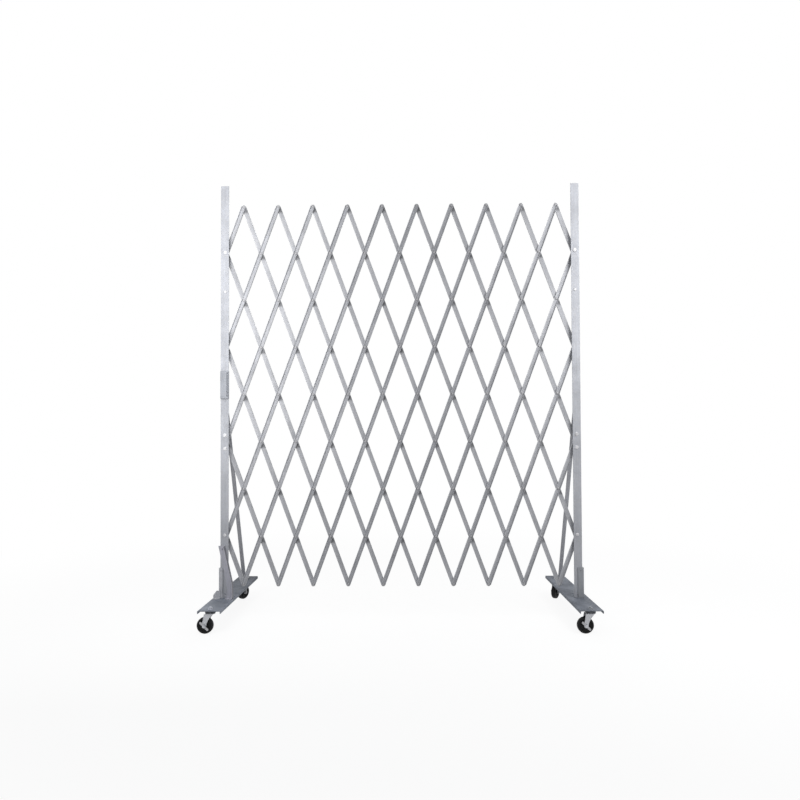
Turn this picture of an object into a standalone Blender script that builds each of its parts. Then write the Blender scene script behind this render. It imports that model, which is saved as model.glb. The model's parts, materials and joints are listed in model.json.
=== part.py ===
"""Portable folding lattice barrier: two post stands on casters joined by a riveted scissor lattice."""

import bpy
import bmesh
from math import atan2, cos, pi, radians, sin
from mathutils import Matrix

# Lattice layout
PIVOT_SPACING = 0.230
REST_ANGLE = radians(20.2)
COLUMNS = 10
ROWS = 8
FIXED_ROW = 5
FIXED_PIVOT_HEIGHT = 0.8035

# Lattice bars
BAR_WIDTH = 0.019
BAR_DEPTH = 0.008
BAR_WALL = 0.0019
BAR_END_STEPS = 4
WEB_GAP = 0.0003

# Lattice rivets
RIVET_HEAD_SIDES = 8
RIVET_SIDES = 6
RIVET_SHANK_RADIUS = 0.0032
RIVET_HEAD_RADIUS = 0.0060
RIVET_HEAD_HEIGHT = 0.0026
RIVET_CROWN_SHARE = 0.62
RIVET_PLAY = 0.0004
RIVET_SEAT = 0.0006

# General clearances
FIT_GAP = 0.0003
TOOL_OVERRUN = 0.002

# Posts
POST_HEIGHT = 1.973
POST_LEG = 0.0365
POST_WALL = 0.0032
POST_EDGE_TO_PIVOT = 0.020
POST_TO_BARS = 0.010
POST_HEAD_RADIUS = 0.0070
POST_HEAD_HEIGHT = 0.0028
POST_TOP_HEAD_RADIUS = 0.0090
POST_TOP_HEAD_HEIGHT = 0.0034
POST_TOP_HEAD_DROP = 0.3055
POST_SECOND_HEAD_DROP = 0.4855
POST_LOW_HEAD_Z = 0.382
POST_SIDES = 10
POST_FOOT_HOLE_RADIUS = 0.0045
POST_FOOT_HOLE_Z = 0.118

# Pivot brackets
BRACKET_PLATE_WIDTH = 0.026
BRACKET_PLATE_HEIGHT = 0.084
BRACKET_PLATE_WALL = 0.003
BRACKET_BOLT_SPREAD = 0.030
BRACKET_BOLT_RADIUS = 0.0032
BRACKET_HEAD_RADIUS = 0.0068
BRACKET_HEAD_HEIGHT = 0.0036
BRACKET_NUT_RADIUS = 0.0062
BRACKET_NUT_HEIGHT = 0.0040
SHOULDER_RADIUS = 0.0056

# Base channels
BASE_LENGTH = 0.640
BASE_WIDTH = 0.098
BASE_WALL = 0.003
BASE_LIP = 0.0125
BASE_BEND = 0.003
BASE_BEND_STEPS = 2
BASE_TOP = 0.100
LEFT_BASE_OUT_OF_PIVOT = 0.006
RIGHT_BASE_OUT_OF_PIVOT = 0.0005
GATE_SETBACK = 0.227
FRONT_STEM_INSET = 0.024
REAR_STEM_INSET = 0.045
STEM_HOLE_PLAY = 0.0004

# Rear braces
BRACE_LEG = 0.019
BRACE_WALL = 0.003
BRACE_TOP_Z = 0.947
BRACE_LUG_HEIGHT = 0.060
BRACE_LUG_FRONT = 0.012
BRACE_CENTRE = 0.003
BRACE_LINE_TOP_Y = 0.0135
BRACE_LINE_TOP_Z = 0.942
BRACE_FOOT_TO_STEM = 0.050
BRACE_FACE_TOP_Z = 0.937
BRACE_LINK_START = 0.027
BRACE_LINK_END = 0.036
BRACE_TAB_WIDTH = 0.027
BRACE_TAB_PAST_STEM = 0.0155
BRACE_BOLT_RADIUS = 0.003
BRACE_BOLT_HEAD_RADIUS = 0.0060
BRACE_BOLT_HEAD_HEIGHT = 0.0035
BRACE_BOLT_INSET = 0.015

# Foot brackets
FOOT_BRACKET_TOP = 0.235
FOOT_BRACKET_WALL = 0.005
LEFT_BRACKET_FRONT_LEG = 0.0172
RIGHT_BRACKET_FRONT_LEG = 0.0258
FOOT_BRACKET_SIDE_LEG = 0.050
FOOT_BRACKET_BOLT_DROP = 0.0085
FOOT_BRACKET_BOLT_RADIUS = 0.0044
FOOT_BRACKET_BOLT_HEIGHT = 0.0030

# Knee strap
STRAP_WIDTH = 0.0295
STRAP_FLANGE = 0.022
STRAP_WALL = 0.003
STRAP_TOP_Z = 0.335
STRAP_KNEE_Z = 0.165
STRAP_TOP_OUT = 0.0290
STRAP_FOOT_OUT = -0.0089
STRAP_TAB_LENGTH = 0.026
STRAP_BOLT_RADIUS = 0.0055
STRAP_BOLT_HEIGHT = 0.0030
STRAP_BOLT_INSET = 0.013

# Foot clip
CLIP_INNER = 0.018
CLIP_OUTER = 0.050
CLIP_TOP = 0.135
CLIP_WALL = 0.003
CLIP_TREAD = 0.022
CLIP_CORNER_WIDTH = 0.015
CLIP_CORNER_HEIGHT = 0.020
CLIP_BOLT_RADIUS = 0.0048
CLIP_BOLT_HEIGHT = 0.0030

# Lock box
LOCK_BOTTOM = 1.000
LOCK_TOP = 1.126
LOCK_INNER = -0.0183
LOCK_OUTER = 0.0196
LOCK_DEPTH = 0.009
LOCK_SLOT_WIDTH = 0.0065
LOCK_SLOT_INSET = 0.0022
LOCK_SLOT_MARGIN = 0.008
LOCK_SLOT_FLOOR = 0.0025
LOCK_CHAMFER = 0.0012

# Casters
CASTER_SIDES = 12
NUT_SIDES = 6
CASTER_TRAIL = 0.022
STEM_RADIUS = 0.0050
STEM_NUT_RADIUS = 0.0092
STEM_NUT_HEIGHT = 0.0075
STEM_TIP = 0.004
RACE_RADIUS = 0.0225
RACE_HEIGHT = 0.0105
RACE_EDGE = 0.002
KINGPIN_RADIUS = 0.0040
KINGPIN_HEAD_RADIUS = 0.0075
KINGPIN_HEAD_HEIGHT = 0.0030
FORK_TOP_RADIUS = 0.0210
FORK_WALL = 0.0026
FORK_TOP_WALL = 0.0030
FORK_GAP = 0.0015
FORK_FOOT_RADIUS = 0.0088
FORK_BACK = 0.0230
FORK_FRONT = 0.0120
FORK_LEG_STEPS = 4
AXLE_SIDES = 8
AXLE_RADIUS = 0.0040
AXLE_HEAD_RADIUS = 0.0066
AXLE_HEAD_HEIGHT = 0.0038
AXLE_PLAY = 0.0004

# Wheels
WHEEL_RADIUS = 0.035
WHEEL_WIDTH = 0.024
WHEEL_SIDES = 20
WHEEL_SHOULDER = 0.005
WHEEL_SHOULDER_DROP = 0.0026
WHEEL_RIM_RADIUS = 0.0252
WHEEL_RIM_LIP = 0.0015
WHEEL_DISH = 0.0036
WHEEL_BOSS_RADIUS = 0.0095

# Brake levers
LEVER_LENGTH = 0.050
LEVER_WIDTH = 0.0095
LEVER_WALL = 0.0024
LEVER_ANGLE = radians(134.0)
LEVER_END_STEPS = 4

# Derived sizes
HALF_PITCH = PIVOT_SPACING * sin(REST_ANGLE)
ROW_STEP = PIVOT_SPACING * cos(REST_ANGLE)
PIVOT_SPAN = 2.0 * COLUMNS * HALF_PITCH
BASES_APART = LEFT_BASE_OUT_OF_PIVOT - RIGHT_BASE_OUT_OF_PIVOT
MID_X = (BASES_APART + CASTER_TRAIL + WHEEL_RADIUS - BASE_WIDTH / 2.0) / 2.0
GATE_Y = GATE_SETBACK - BASE_LENGTH / 2.0
WEB_FACE = WEB_GAP / 2.0
POST_BACK = -(WEB_FACE + BAR_DEPTH + POST_TO_BARS)
POST_FRONT = POST_BACK - POST_WALL
POST_INNER_EDGE = POST_EDGE_TO_PIVOT - POST_LEG
POST_BOTTOM = BASE_TOP + FIT_GAP
BASE_UNDERSIDE = BASE_TOP - BASE_WALL
RACE_TOP = BASE_UNDERSIDE - FIT_GAP
RACE_BOTTOM = RACE_TOP - RACE_HEIGHT
FORK_TOP = RACE_BOTTOM - FIT_GAP
FORK_PLATE_UNDERSIDE = FORK_TOP - FORK_TOP_WALL
AXLE_HEIGHT = WHEEL_RADIUS * cos(pi / WHEEL_SIDES)
LEG_INNER = WHEEL_WIDTH / 2.0 + FORK_GAP
LEG_OUTER = LEG_INNER + FORK_WALL
LEFT = -1.0
RIGHT = 1.0


def clear_scene():
    for old in list(bpy.data.objects):
        bpy.data.objects.remove(old, do_unlink=True)


# Materials
def make_material(name, colour, roughness, metallic):
    material = bpy.data.materials.new(name)
    material.use_nodes = True
    shader = material.node_tree.nodes["Principled BSDF"]
    shader.inputs["Base Color"].default_value = (*colour, 1.0)
    shader.inputs["Roughness"].default_value = roughness
    shader.inputs["Metallic"].default_value = metallic
    material.diffuse_color = (*colour, 1.0)
    return material


def post_steel():
    return make_material("post_steel", (0.62, 0.62, 0.64), 0.42, 0.75)


def front_bar_steel():
    return make_material("front_bar_steel", (0.50, 0.50, 0.52), 0.40, 0.80)


def rear_bar_steel():
    return make_material("rear_bar_steel", (0.42, 0.42, 0.44), 0.45, 0.80)


def base_steel():
    return make_material("base_steel", (0.27, 0.28, 0.31), 0.50, 0.75)


def brace_steel():
    return make_material("brace_steel", (0.22, 0.22, 0.24), 0.50, 0.70)


def foot_steel():
    return make_material("foot_steel", (0.34, 0.34, 0.37), 0.45, 0.75)


def bolt_steel():
    return make_material("bolt_steel", (0.70, 0.70, 0.73), 0.30, 0.90)


def lock_steel():
    return make_material("lock_steel", (0.46, 0.46, 0.49), 0.38, 0.80)


def race_steel():
    return make_material("race_steel", (0.10, 0.11, 0.13), 0.40, 0.70)


def fork_zinc():
    return make_material("fork_zinc", (0.58, 0.59, 0.62), 0.32, 0.90)


def lever_zinc():
    return make_material("lever_zinc", (0.66, 0.66, 0.68), 0.30, 0.90)


def wheel_rubber():
    return make_material("wheel_rubber", (0.012, 0.012, 0.014), 0.55, 0.0)


# Solid building
def add_faces_between(bm, ring_a, ring_b):
    count = len(ring_a)
    for index in range(count):
        following = (index + 1) % count
        bm.faces.new((ring_a[index], ring_a[following], ring_b[following], ring_b[index]))


def add_prism(bm, outline, low, high, to_point):
    lower = [bm.verts.new(to_point(a, b, low)) for a, b in outline]
    upper = [bm.verts.new(to_point(a, b, high)) for a, b in outline]
    bm.faces.new(lower)
    bm.faces.new(upper)
    add_faces_between(bm, lower, upper)


def along_x(y, z, x):
    return (x, y, z)


def along_y(x, z, y):
    return (x, y, z)


def along_z(x, y, z):
    return (x, y, z)


def rectangle(a_low, a_high, b_low, b_high):
    return [(a_low, b_low), (a_high, b_low), (a_high, b_high), (a_low, b_high)]


def add_box(bm, x_range, y_range, z_range):
    add_prism(bm, rectangle(*x_range, *y_range), *z_range, along_z)


def add_lathe(bm, profile, sides, to_point, centre=(0.0, 0.0), closed=False):
    rings = []
    for radius, height in profile:
        ring = []
        for step in range(sides):
            turn = 2.0 * pi * (step + 0.5) / sides
            first = centre[0] + radius * cos(turn)
            second = centre[1] + radius * sin(turn)
            ring.append(bm.verts.new(to_point(first, second, height)))
        rings.append(ring)
    for lower, upper in zip(rings, rings[1:]):
        add_faces_between(bm, lower, upper)
    if closed:
        add_faces_between(bm, rings[-1], rings[0])
    else:
        bm.faces.new(rings[0])
        bm.faces.new(rings[-1])


def clear_radius(radius, play, sides):
    """Corner radius of a hole with flat sides that still clears a round shaft by the play."""
    return (radius + play) / cos(pi / sides)


def disc_outline(radius, steps, first_turn, last_turn, centre=(0.0, 0.0)):
    points = []
    for step in range(steps + 1):
        turn = first_turn + (last_turn - first_turn) * step / steps
        points.append((centre[0] + radius * cos(turn), centre[1] + radius * sin(turn)))
    return points


def to_object(name, bm, material=None):
    bmesh.ops.recalc_face_normals(bm, faces=bm.faces)
    mesh = bpy.data.meshes.new(name)
    bm.to_mesh(mesh)
    bm.free()
    if material is not None:
        mesh.materials.append(material)
    solid = bpy.data.objects.new(name, mesh)
    bpy.context.scene.collection.objects.link(solid)
    return solid


def combine(target, tool, operation):
    step = target.modifiers.new(operation.lower(), "BOOLEAN")
    step.solver = "EXACT"
    step.operation = operation
    step.object = tool
    graph = bpy.context.evaluated_depsgraph_get()
    result = bpy.data.meshes.new_from_object(target.evaluated_get(graph))
    plain = target.data
    target.modifiers.clear()
    target.data = result
    result.name = plain.name
    bpy.data.meshes.remove(plain)
    spent = tool.data
    bpy.data.objects.remove(tool, do_unlink=True)
    bpy.data.meshes.remove(spent)


def fuse(target, bm):
    combine(target, to_object("addition", bm), "UNION")


def cut(target, bm):
    combine(target, to_object("cutter", bm), "DIFFERENCE")


def place(solid, parent, location=(0.0, 0.0, 0.0), turn=(0.0, 0.0, 0.0)):
    solid.parent = parent
    solid.location = location
    solid.rotation_euler = turn
    return solid


def to_side(solid, side):
    solid.data.transform(Matrix.Diagonal((side, 1.0, 1.0, 1.0)))
    if side < 0.0:
        solid.data.flip_normals()
    return solid


def smooth(solid, sharp_angle=radians(35.0)):
    solid.data.shade_smooth()
    solid.data.set_sharp_from_angle(angle=sharp_angle)
    return solid


def add_frame(name, parent, location):
    frame = bpy.data.objects.new(name, None)
    bpy.context.scene.collection.objects.link(frame)
    return place(frame, parent, location)


# Lattice plan
def rising_rows(key):
    rows = []
    for row in range(ROWS + 1):
        column = key - row / 2.0
        if 0.0 <= column <= COLUMNS:
            rows.append(row)
    return rows


def falling_rows(key):
    rows = []
    for row in range(ROWS + 1):
        column = key + row / 2.0
        if 0.0 <= column <= COLUMNS:
            rows.append(row)
    return rows


def rising_keys():
    return [step + 0.5 for step in range(COLUMNS + ROWS // 2)]


def falling_keys():
    return [step + 0.5 - ROWS // 2 for step in range(COLUMNS + ROWS // 2)]


def crossing_row(rising, falling):
    row = int(round(rising - falling))
    if row in rising_rows(rising) and row in falling_rows(falling):
        return row
    return None


def lattice_tree():
    """Return, for each bar, the row of the pivot that joins it to the bar or post it hangs from."""
    start_rising = FIXED_ROW / 2.0
    start_falling = -FIXED_ROW / 2.0
    pivots = {("rising", start_rising): FIXED_ROW, ("falling", start_falling): FIXED_ROW}
    waiting = [("rising", start_rising), ("falling", start_falling)]
    while waiting:
        kind, key = waiting.pop(0)
        others = falling_keys() if kind == "rising" else rising_keys()
        other_kind = "falling" if kind == "rising" else "rising"
        for other in others:
            row = crossing_row(key, other) if kind == "rising" else crossing_row(other, key)
            if row is not None and (other_kind, other) not in pivots:
                pivots[(other_kind, other)] = row
                waiting.append((other_kind, other))
    return pivots


def pivot_point(column, row):
    x = MID_X - PIVOT_SPAN / 2.0 + 2.0 * HALF_PITCH * column
    z = FIXED_PIVOT_HEIGHT + (FIXED_ROW - row) * ROW_STEP
    return (x, GATE_Y, z)


def is_post_pivot(column, row):
    return row == FIXED_ROW and column in (0.0, float(COLUMNS))


# Lattice bars
def channel_bar(low, high, facing):
    """Open channel with round web ends, its web on the lattice plane and its lips on the facing side."""
    half = BAR_WIDTH / 2.0
    bm = bmesh.new()

    def vertex(x, depth, z):
        return bm.verts.new((x, facing * (WEB_FACE + depth), z))

    lower = disc_outline(half, BAR_END_STEPS, pi, 2.0 * pi, (0.0, low))
    upper = disc_outline(half, BAR_END_STEPS, 0.0, pi, (0.0, high))
    lower_back = [vertex(x, 0.0, z) for x, z in lower]
    upper_back = [vertex(x, 0.0, z) for x, z in upper]
    lower_inner = [vertex(x, BAR_WALL, z) for x, z in lower]
    upper_inner = [vertex(x, BAR_WALL, z) for x, z in upper]
    bm.faces.new(lower_back + upper_back)
    for back, inner in ((lower_back, lower_inner), (upper_back, upper_inner)):
        for index in range(BAR_END_STEPS):
            bm.faces.new((back[index], back[index + 1], inner[index + 1], inner[index]))
    roots = {}
    for edge, low_index, high_index in ((1.0, -1, 0), (-1.0, 0, -1)):
        tip_low = vertex(edge * half, BAR_DEPTH, low)
        tip_high = vertex(edge * half, BAR_DEPTH, high)
        lip_low = vertex(edge * (half - BAR_WALL), BAR_DEPTH, low)
        lip_high = vertex(edge * (half - BAR_WALL), BAR_DEPTH, high)
        root_low = vertex(edge * (half - BAR_WALL), BAR_WALL, low)
        root_high = vertex(edge * (half - BAR_WALL), BAR_WALL, high)
        outer_low = lower_inner[low_index]
        outer_high = upper_inner[high_index]
        back_low = lower_back[low_index]
        back_high = upper_back[high_index]
        bm.faces.new((back_low, back_high, outer_high, tip_high, tip_low, outer_low))
        bm.faces.new((tip_low, tip_high, lip_high, lip_low))
        bm.faces.new((lip_low, lip_high, root_high, root_low))
        bm.faces.new((outer_low, tip_low, lip_low, root_low))
        bm.faces.new((outer_high, tip_high, lip_high, root_high))
        roots[edge] = (root_low, root_high)
    web = lower_inner + [roots[1.0][0], roots[1.0][1]]
    web += upper_inner + [roots[-1.0][1], roots[-1.0][0]]
    bm.faces.new(web)
    return bm


def rivet_heads(heights):
    """Low heads that stand in the channel of a front bar."""
    front_web = -(WEB_FACE + BAR_WALL)
    profile = [
        (RIVET_HEAD_RADIUS * RIVET_CROWN_SHARE, front_web - RIVET_HEAD_HEIGHT),
        (RIVET_HEAD_RADIUS, front_web + RIVET_SEAT),
    ]
    bm = bmesh.new()
    for height in heights:
        add_lathe(bm, profile, RIVET_HEAD_SIDES, along_y, (0.0, height))
    return bm


def rivet_tails(heights):
    """Shanks that leave the front web, pass through the rear web and end in a tail behind it."""
    start = -(WEB_FACE + RIVET_SEAT)
    tail_start = WEB_FACE + BAR_WALL + FIT_GAP
    profile = [
        (RIVET_SHANK_RADIUS, start),
        (RIVET_SHANK_RADIUS, tail_start),
        (RIVET_HEAD_RADIUS, tail_start),
        (RIVET_HEAD_RADIUS * RIVET_CROWN_SHARE, tail_start + RIVET_HEAD_HEIGHT),
    ]
    bm = bmesh.new()
    for height in heights:
        add_lathe(bm, profile, RIVET_SIDES, along_y, (0.0, height))
    return bm


def rivet_holes(heights, facing):
    reach = WEB_FACE + BAR_WALL + TOOL_OVERRUN
    near = WEB_FACE - WEB_GAP
    radius = clear_radius(RIVET_SHANK_RADIUS, RIVET_PLAY, RIVET_SIDES)
    profile = [(radius, facing * near), (radius, facing * reach)]
    bm = bmesh.new()
    for height in heights:
        add_lathe(bm, profile, RIVET_SIDES, along_y, (0.0, height))
    return bm


def bar_heights(rows, joint_row):
    return [(joint_row - row) * PIVOT_SPACING for row in rows]


def rising_bar(index, key, joint_row, parent, material):
    """Front bar that climbs to the right and carries the rivets."""
    rows = rising_rows(key)
    heights = bar_heights(rows, joint_row)
    name = "bar_front_%02d" % (index + 1)
    bar = to_object(name, channel_bar(min(heights), max(heights), -1.0), material)
    held = [h for h, row in zip(heights, rows) if is_post_pivot(key - row / 2.0, row)]
    riveted = [h for h in heights if h not in held]
    fuse(bar, rivet_heads(riveted))
    fuse(bar, rivet_tails(riveted))
    if held:
        cut(bar, rivet_holes(held, -1.0))
    smooth(bar)
    column = key - joint_row / 2.0
    return place(bar, parent, pivot_point(column, joint_row), (0.0, REST_ANGLE, 0.0))


def falling_bar(index, key, joint_row, parent, material):
    """Rear bar that climbs to the left and turns on the rivets of the front bars."""
    rows = falling_rows(key)
    heights = bar_heights(rows, joint_row)
    name = "bar_rear_%02d" % (index + 1)
    bar = to_object(name, channel_bar(min(heights), max(heights), 1.0), material)
    cut(bar, rivet_holes(heights, 1.0))
    smooth(bar)
    column = key + joint_row / 2.0
    return place(bar, parent, pivot_point(column, joint_row), (0.0, -REST_ANGLE, 0.0))


def build_lattice():
    lattice = add_frame("lattice", None, (0.0, 0.0, 0.0))
    front_material = front_bar_steel()
    rear_material = rear_bar_steel()
    tree = lattice_tree()
    for index, key in enumerate(rising_keys()):
        rising_bar(index, key, tree[("rising", key)], lattice, front_material)
    for index, key in enumerate(falling_keys()):
        falling_bar(index, key, tree[("falling", key)], lattice, rear_material)


# Posts
def head_profile(face, height, radius, outward):
    return [(radius, face - outward * RIVET_SEAT), (radius * RIVET_CROWN_SHARE, face + outward * height)]


def post(side, stand, material):
    """Angle post: one leg faces the front, the other runs back along the outer side."""
    outer = POST_EDGE_TO_PIVOT
    inner = POST_INNER_EDGE
    rear = POST_FRONT + POST_LEG
    outline = [
        (inner, POST_FRONT),
        (outer, POST_FRONT),
        (outer, rear),
        (outer - POST_WALL, rear),
        (outer - POST_WALL, POST_BACK),
        (inner, POST_BACK),
    ]
    bm = bmesh.new()
    add_prism(bm, outline, POST_BOTTOM, POST_HEIGHT, along_z)
    solid = to_object("post_%s" % side_name(side), bm, material)
    heads = bmesh.new()
    for height in (POST_HEIGHT - POST_SECOND_HEAD_DROP, POST_LOW_HEAD_Z):
        profile = head_profile(POST_FRONT, POST_HEAD_HEIGHT, POST_HEAD_RADIUS, -1.0)
        add_lathe(heads, profile, POST_SIDES, along_y, (0.0, height))
    profile = head_profile(POST_FRONT, POST_TOP_HEAD_HEIGHT, POST_TOP_HEAD_RADIUS, -1.0)
    add_lathe(heads, profile, POST_SIDES, along_y, (0.0, POST_HEIGHT - POST_TOP_HEAD_DROP))
    fuse(solid, heads)
    holes = bmesh.new()
    through = (POST_FRONT - TOOL_OVERRUN, POST_BACK + TOOL_OVERRUN)
    for height in bracket_bolt_heights():
        radius = BRACKET_BOLT_RADIUS + RIVET_PLAY
        add_lathe(holes, [(radius, y) for y in through], RIVET_SIDES, along_y, (0.0, height))
    foot = [(POST_FOOT_HOLE_RADIUS, y) for y in through]
    add_lathe(holes, foot, RIVET_SIDES, along_y, (0.0, POST_FOOT_HOLE_Z))
    cut(solid, holes)
    side_holes = bmesh.new()
    radius = BRACE_BOLT_RADIUS + RIVET_PLAY
    across = (outer - POST_WALL - TOOL_OVERRUN, outer + TOOL_OVERRUN)
    for centre in brace_bolt_centres():
        add_lathe(side_holes, [(radius, x) for x in across], RIVET_SIDES, along_x, centre)
    cut(solid, side_holes)
    return place(smooth(to_side(solid, side)), stand)


def side_name(side):
    return "left" if side < 0.0 else "right"


# Pivot brackets
def bracket_bolt_heights():
    return [FIXED_PIVOT_HEIGHT + BRACKET_BOLT_SPREAD, FIXED_PIVOT_HEIGHT - BRACKET_BOLT_SPREAD]


def pivot_bracket(side, stand, material):
    """Plate behind the front leg with two through bolts and the stud that the lattice turns on."""
    plate_front = POST_BACK + FIT_GAP
    plate_back = plate_front + BRACKET_PLATE_WALL
    half_width = BRACKET_PLATE_WIDTH / 2.0
    low = FIXED_PIVOT_HEIGHT - BRACKET_PLATE_HEIGHT / 2.0
    high = FIXED_PIVOT_HEIGHT + BRACKET_PLATE_HEIGHT / 2.0
    outline = rectangle(-half_width, half_width, low, high)
    bm = bmesh.new()
    add_prism(bm, outline, plate_front, plate_back, along_y)
    solid = to_object("pivot_bracket_%s" % side_name(side), bm, material)
    bolts = bmesh.new()
    face = POST_FRONT - FIT_GAP
    bolt = [
        (BRACKET_HEAD_RADIUS * RIVET_CROWN_SHARE, face - BRACKET_HEAD_HEIGHT),
        (BRACKET_HEAD_RADIUS, face),
        (BRACKET_BOLT_RADIUS, face),
        (BRACKET_BOLT_RADIUS, plate_back - RIVET_SEAT),
        (BRACKET_NUT_RADIUS, plate_back - RIVET_SEAT),
        (BRACKET_NUT_RADIUS, plate_back + BRACKET_NUT_HEIGHT),
    ]
    for height in bracket_bolt_heights():
        add_lathe(bolts, bolt, RIVET_SIDES, along_y, (0.0, height))
    fuse(solid, bolts)
    stud_bm = bmesh.new()
    shoulder_end = -(WEB_FACE + BAR_WALL + FIT_GAP)
    tail_start = WEB_FACE + BAR_WALL + FIT_GAP
    stud = [
        (SHOULDER_RADIUS, plate_back - RIVET_SEAT),
        (SHOULDER_RADIUS, shoulder_end),
        (RIVET_SHANK_RADIUS, shoulder_end),
        (RIVET_SHANK_RADIUS, tail_start),
        (RIVET_HEAD_RADIUS, tail_start),
        (RIVET_HEAD_RADIUS * RIVET_CROWN_SHARE, tail_start + RIVET_HEAD_HEIGHT),
    ]
    add_lathe(stud_bm, stud, RIVET_SIDES, along_y, (0.0, FIXED_PIVOT_HEIGHT))
    fuse(solid, stud_bm)
    return place(smooth(to_side(solid, side)), stand)


# Base channels
def base_front():
    return -GATE_SETBACK


def stem_positions():
    front = base_front() + FRONT_STEM_INSET
    rear = base_front() + BASE_LENGTH - REAR_STEM_INSET
    return {"front": front, "rear": rear}


def base_centre(side):
    """How far the middle of the base lies outside the pivot line of its post."""
    return LEFT_BASE_OUT_OF_PIVOT if side < 0.0 else RIGHT_BASE_OUT_OF_PIVOT


def base(side, stand, material):
    """Shallow channel laid with its lips down, running from front to back under the post."""
    half = BASE_WIDTH / 2.0
    top = BASE_TOP
    under = BASE_UNDERSIDE
    bottom = BASE_TOP - BASE_LIP
    centre = base_centre(side)
    bend = (half - BASE_BEND, top - BASE_BEND)
    right_half = disc_outline(BASE_BEND, BASE_BEND_STEPS, pi / 2.0, 0.0, bend)
    right_half += [(half, bottom), (half - BASE_WALL, bottom), (half - BASE_WALL, under)]
    outline = [(centre + x, z) for x, z in right_half]
    outline += [(centre - x, z) for x, z in reversed(right_half)]
    bm = bmesh.new()
    add_prism(bm, outline, base_front(), base_front() + BASE_LENGTH, along_y)
    solid = to_object("base_%s" % side_name(side), bm, material)
    holes = bmesh.new()
    radius = STEM_RADIUS + STEM_HOLE_PLAY
    through = (under - TOOL_OVERRUN, top + TOOL_OVERRUN)
    for y in stem_positions().values():
        add_lathe(holes, [(radius, z) for z in through], CASTER_SIDES, along_z, (centre, y))
    cut(solid, holes)
    return place(smooth(to_side(solid, side)), stand)


# Rear braces
def brace_foot_y():
    return stem_positions()["rear"] - BRACE_FOOT_TO_STEM


def brace_line(z):
    fall = (brace_foot_y() - BRACE_LINE_TOP_Y) / (BRACE_LINE_TOP_Z - POST_BOTTOM)
    return BRACE_LINE_TOP_Y + (BRACE_LINE_TOP_Z - z) * fall


def brace_level_width(width):
    lean = atan2(BRACE_LINE_TOP_Z - POST_BOTTOM, brace_foot_y() - BRACE_LINE_TOP_Y)
    return width / sin(lean)


def brace_bolt_centres():
    rear = POST_FRONT + POST_LEG
    y = (rear - BRACE_LUG_FRONT) / 2.0
    return [(y, BRACE_TOP_Z - BRACE_BOLT_INSET), (y, BRACE_TOP_Z - BRACE_LUG_HEIGHT + BRACE_BOLT_INSET)]


def brace(side, stand, material):
    """Angle brace from a lug on the outer leg of the post down to a tab held by the rear stem nut."""
    lug_outer = POST_EDGE_TO_PIVOT - POST_WALL - FIT_GAP
    lug_inner = lug_outer - BRACE_WALL
    lug_low = BRACE_TOP_Z - BRACE_LUG_HEIGHT
    leg_outer = BRACE_CENTRE + BRACE_LEG / 2.0
    leg_inner = leg_outer - BRACE_WALL
    leg_width = brace_level_width(BRACE_LEG)
    wall = brace_level_width(BRACE_WALL)
    side_outline = [
        (brace_line(BRACE_TOP_Z), BRACE_TOP_Z),
        (brace_line(POST_BOTTOM), POST_BOTTOM),
        (brace_line(POST_BOTTOM) + leg_width, POST_BOTTOM),
        (brace_line(BRACE_TOP_Z) + leg_width, BRACE_TOP_Z),
    ]
    bm = bmesh.new()
    add_prism(bm, side_outline, leg_inner, leg_outer, along_x)
    solid = to_object("brace_%s" % side_name(side), bm, material)
    face_outline = [
        (brace_line(BRACE_FACE_TOP_Z), BRACE_FACE_TOP_Z),
        (brace_line(POST_BOTTOM), POST_BOTTOM),
        (brace_line(POST_BOTTOM) + wall, POST_BOTTOM),
        (brace_line(BRACE_FACE_TOP_Z) + wall, BRACE_FACE_TOP_Z),
    ]
    face = bmesh.new()
    add_prism(face, face_outline, leg_outer - BRACE_LEG, leg_outer, along_x)
    fuse(solid, face)
    link = bmesh.new()
    add_box(link, (leg_inner, lug_outer), (BRACE_LINK_START, BRACE_LINK_END), (lug_low, BRACE_TOP_Z))
    fuse(solid, link)
    lug = bmesh.new()
    add_box(lug, (lug_inner, lug_outer), (-BRACE_LUG_FRONT, BRACE_LINK_END), (lug_low, BRACE_TOP_Z))
    fuse(solid, lug)
    tab = bmesh.new()
    stem_x = base_centre(side)
    stem_y = stem_positions()["rear"]
    tab_x = (stem_x - BRACE_TAB_WIDTH / 2.0, stem_x + BRACE_TAB_WIDTH / 2.0)
    tab_y = (brace_line(POST_BOTTOM), stem_y + BRACE_TAB_PAST_STEM)
    tab_z = (POST_BOTTOM, POST_BOTTOM + BRACE_WALL)
    add_box(tab, tab_x, tab_y, tab_z)
    fuse(solid, tab)
    stem_hole = bmesh.new()
    radius = STEM_RADIUS + STEM_HOLE_PLAY
    through = (tab_z[0] - FIT_GAP / 2.0, tab_z[1] + TOOL_OVERRUN)
    add_lathe(stem_hole, [(radius, z) for z in through], CASTER_SIDES, along_z, (stem_x, stem_y))
    cut(solid, stem_hole)
    bolts = bmesh.new()
    head_face = POST_EDGE_TO_PIVOT + FIT_GAP
    bolt = [
        (BRACE_BOLT_HEAD_RADIUS, lug_inner - BRACE_BOLT_HEAD_HEIGHT),
        (BRACE_BOLT_HEAD_RADIUS, lug_inner + RIVET_SEAT),
        (BRACE_BOLT_RADIUS, lug_inner + RIVET_SEAT),
        (BRACE_BOLT_RADIUS, head_face),
        (BRACE_BOLT_HEAD_RADIUS, head_face),
        (BRACE_BOLT_HEAD_RADIUS * RIVET_CROWN_SHARE, head_face + BRACE_BOLT_HEAD_HEIGHT),
    ]
    for centre in brace_bolt_centres():
        add_lathe(bolts, bolt, RIVET_SIDES, along_x, centre)
    fuse(solid, bolts)
    return place(smooth(to_side(solid, side)), stand)


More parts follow.
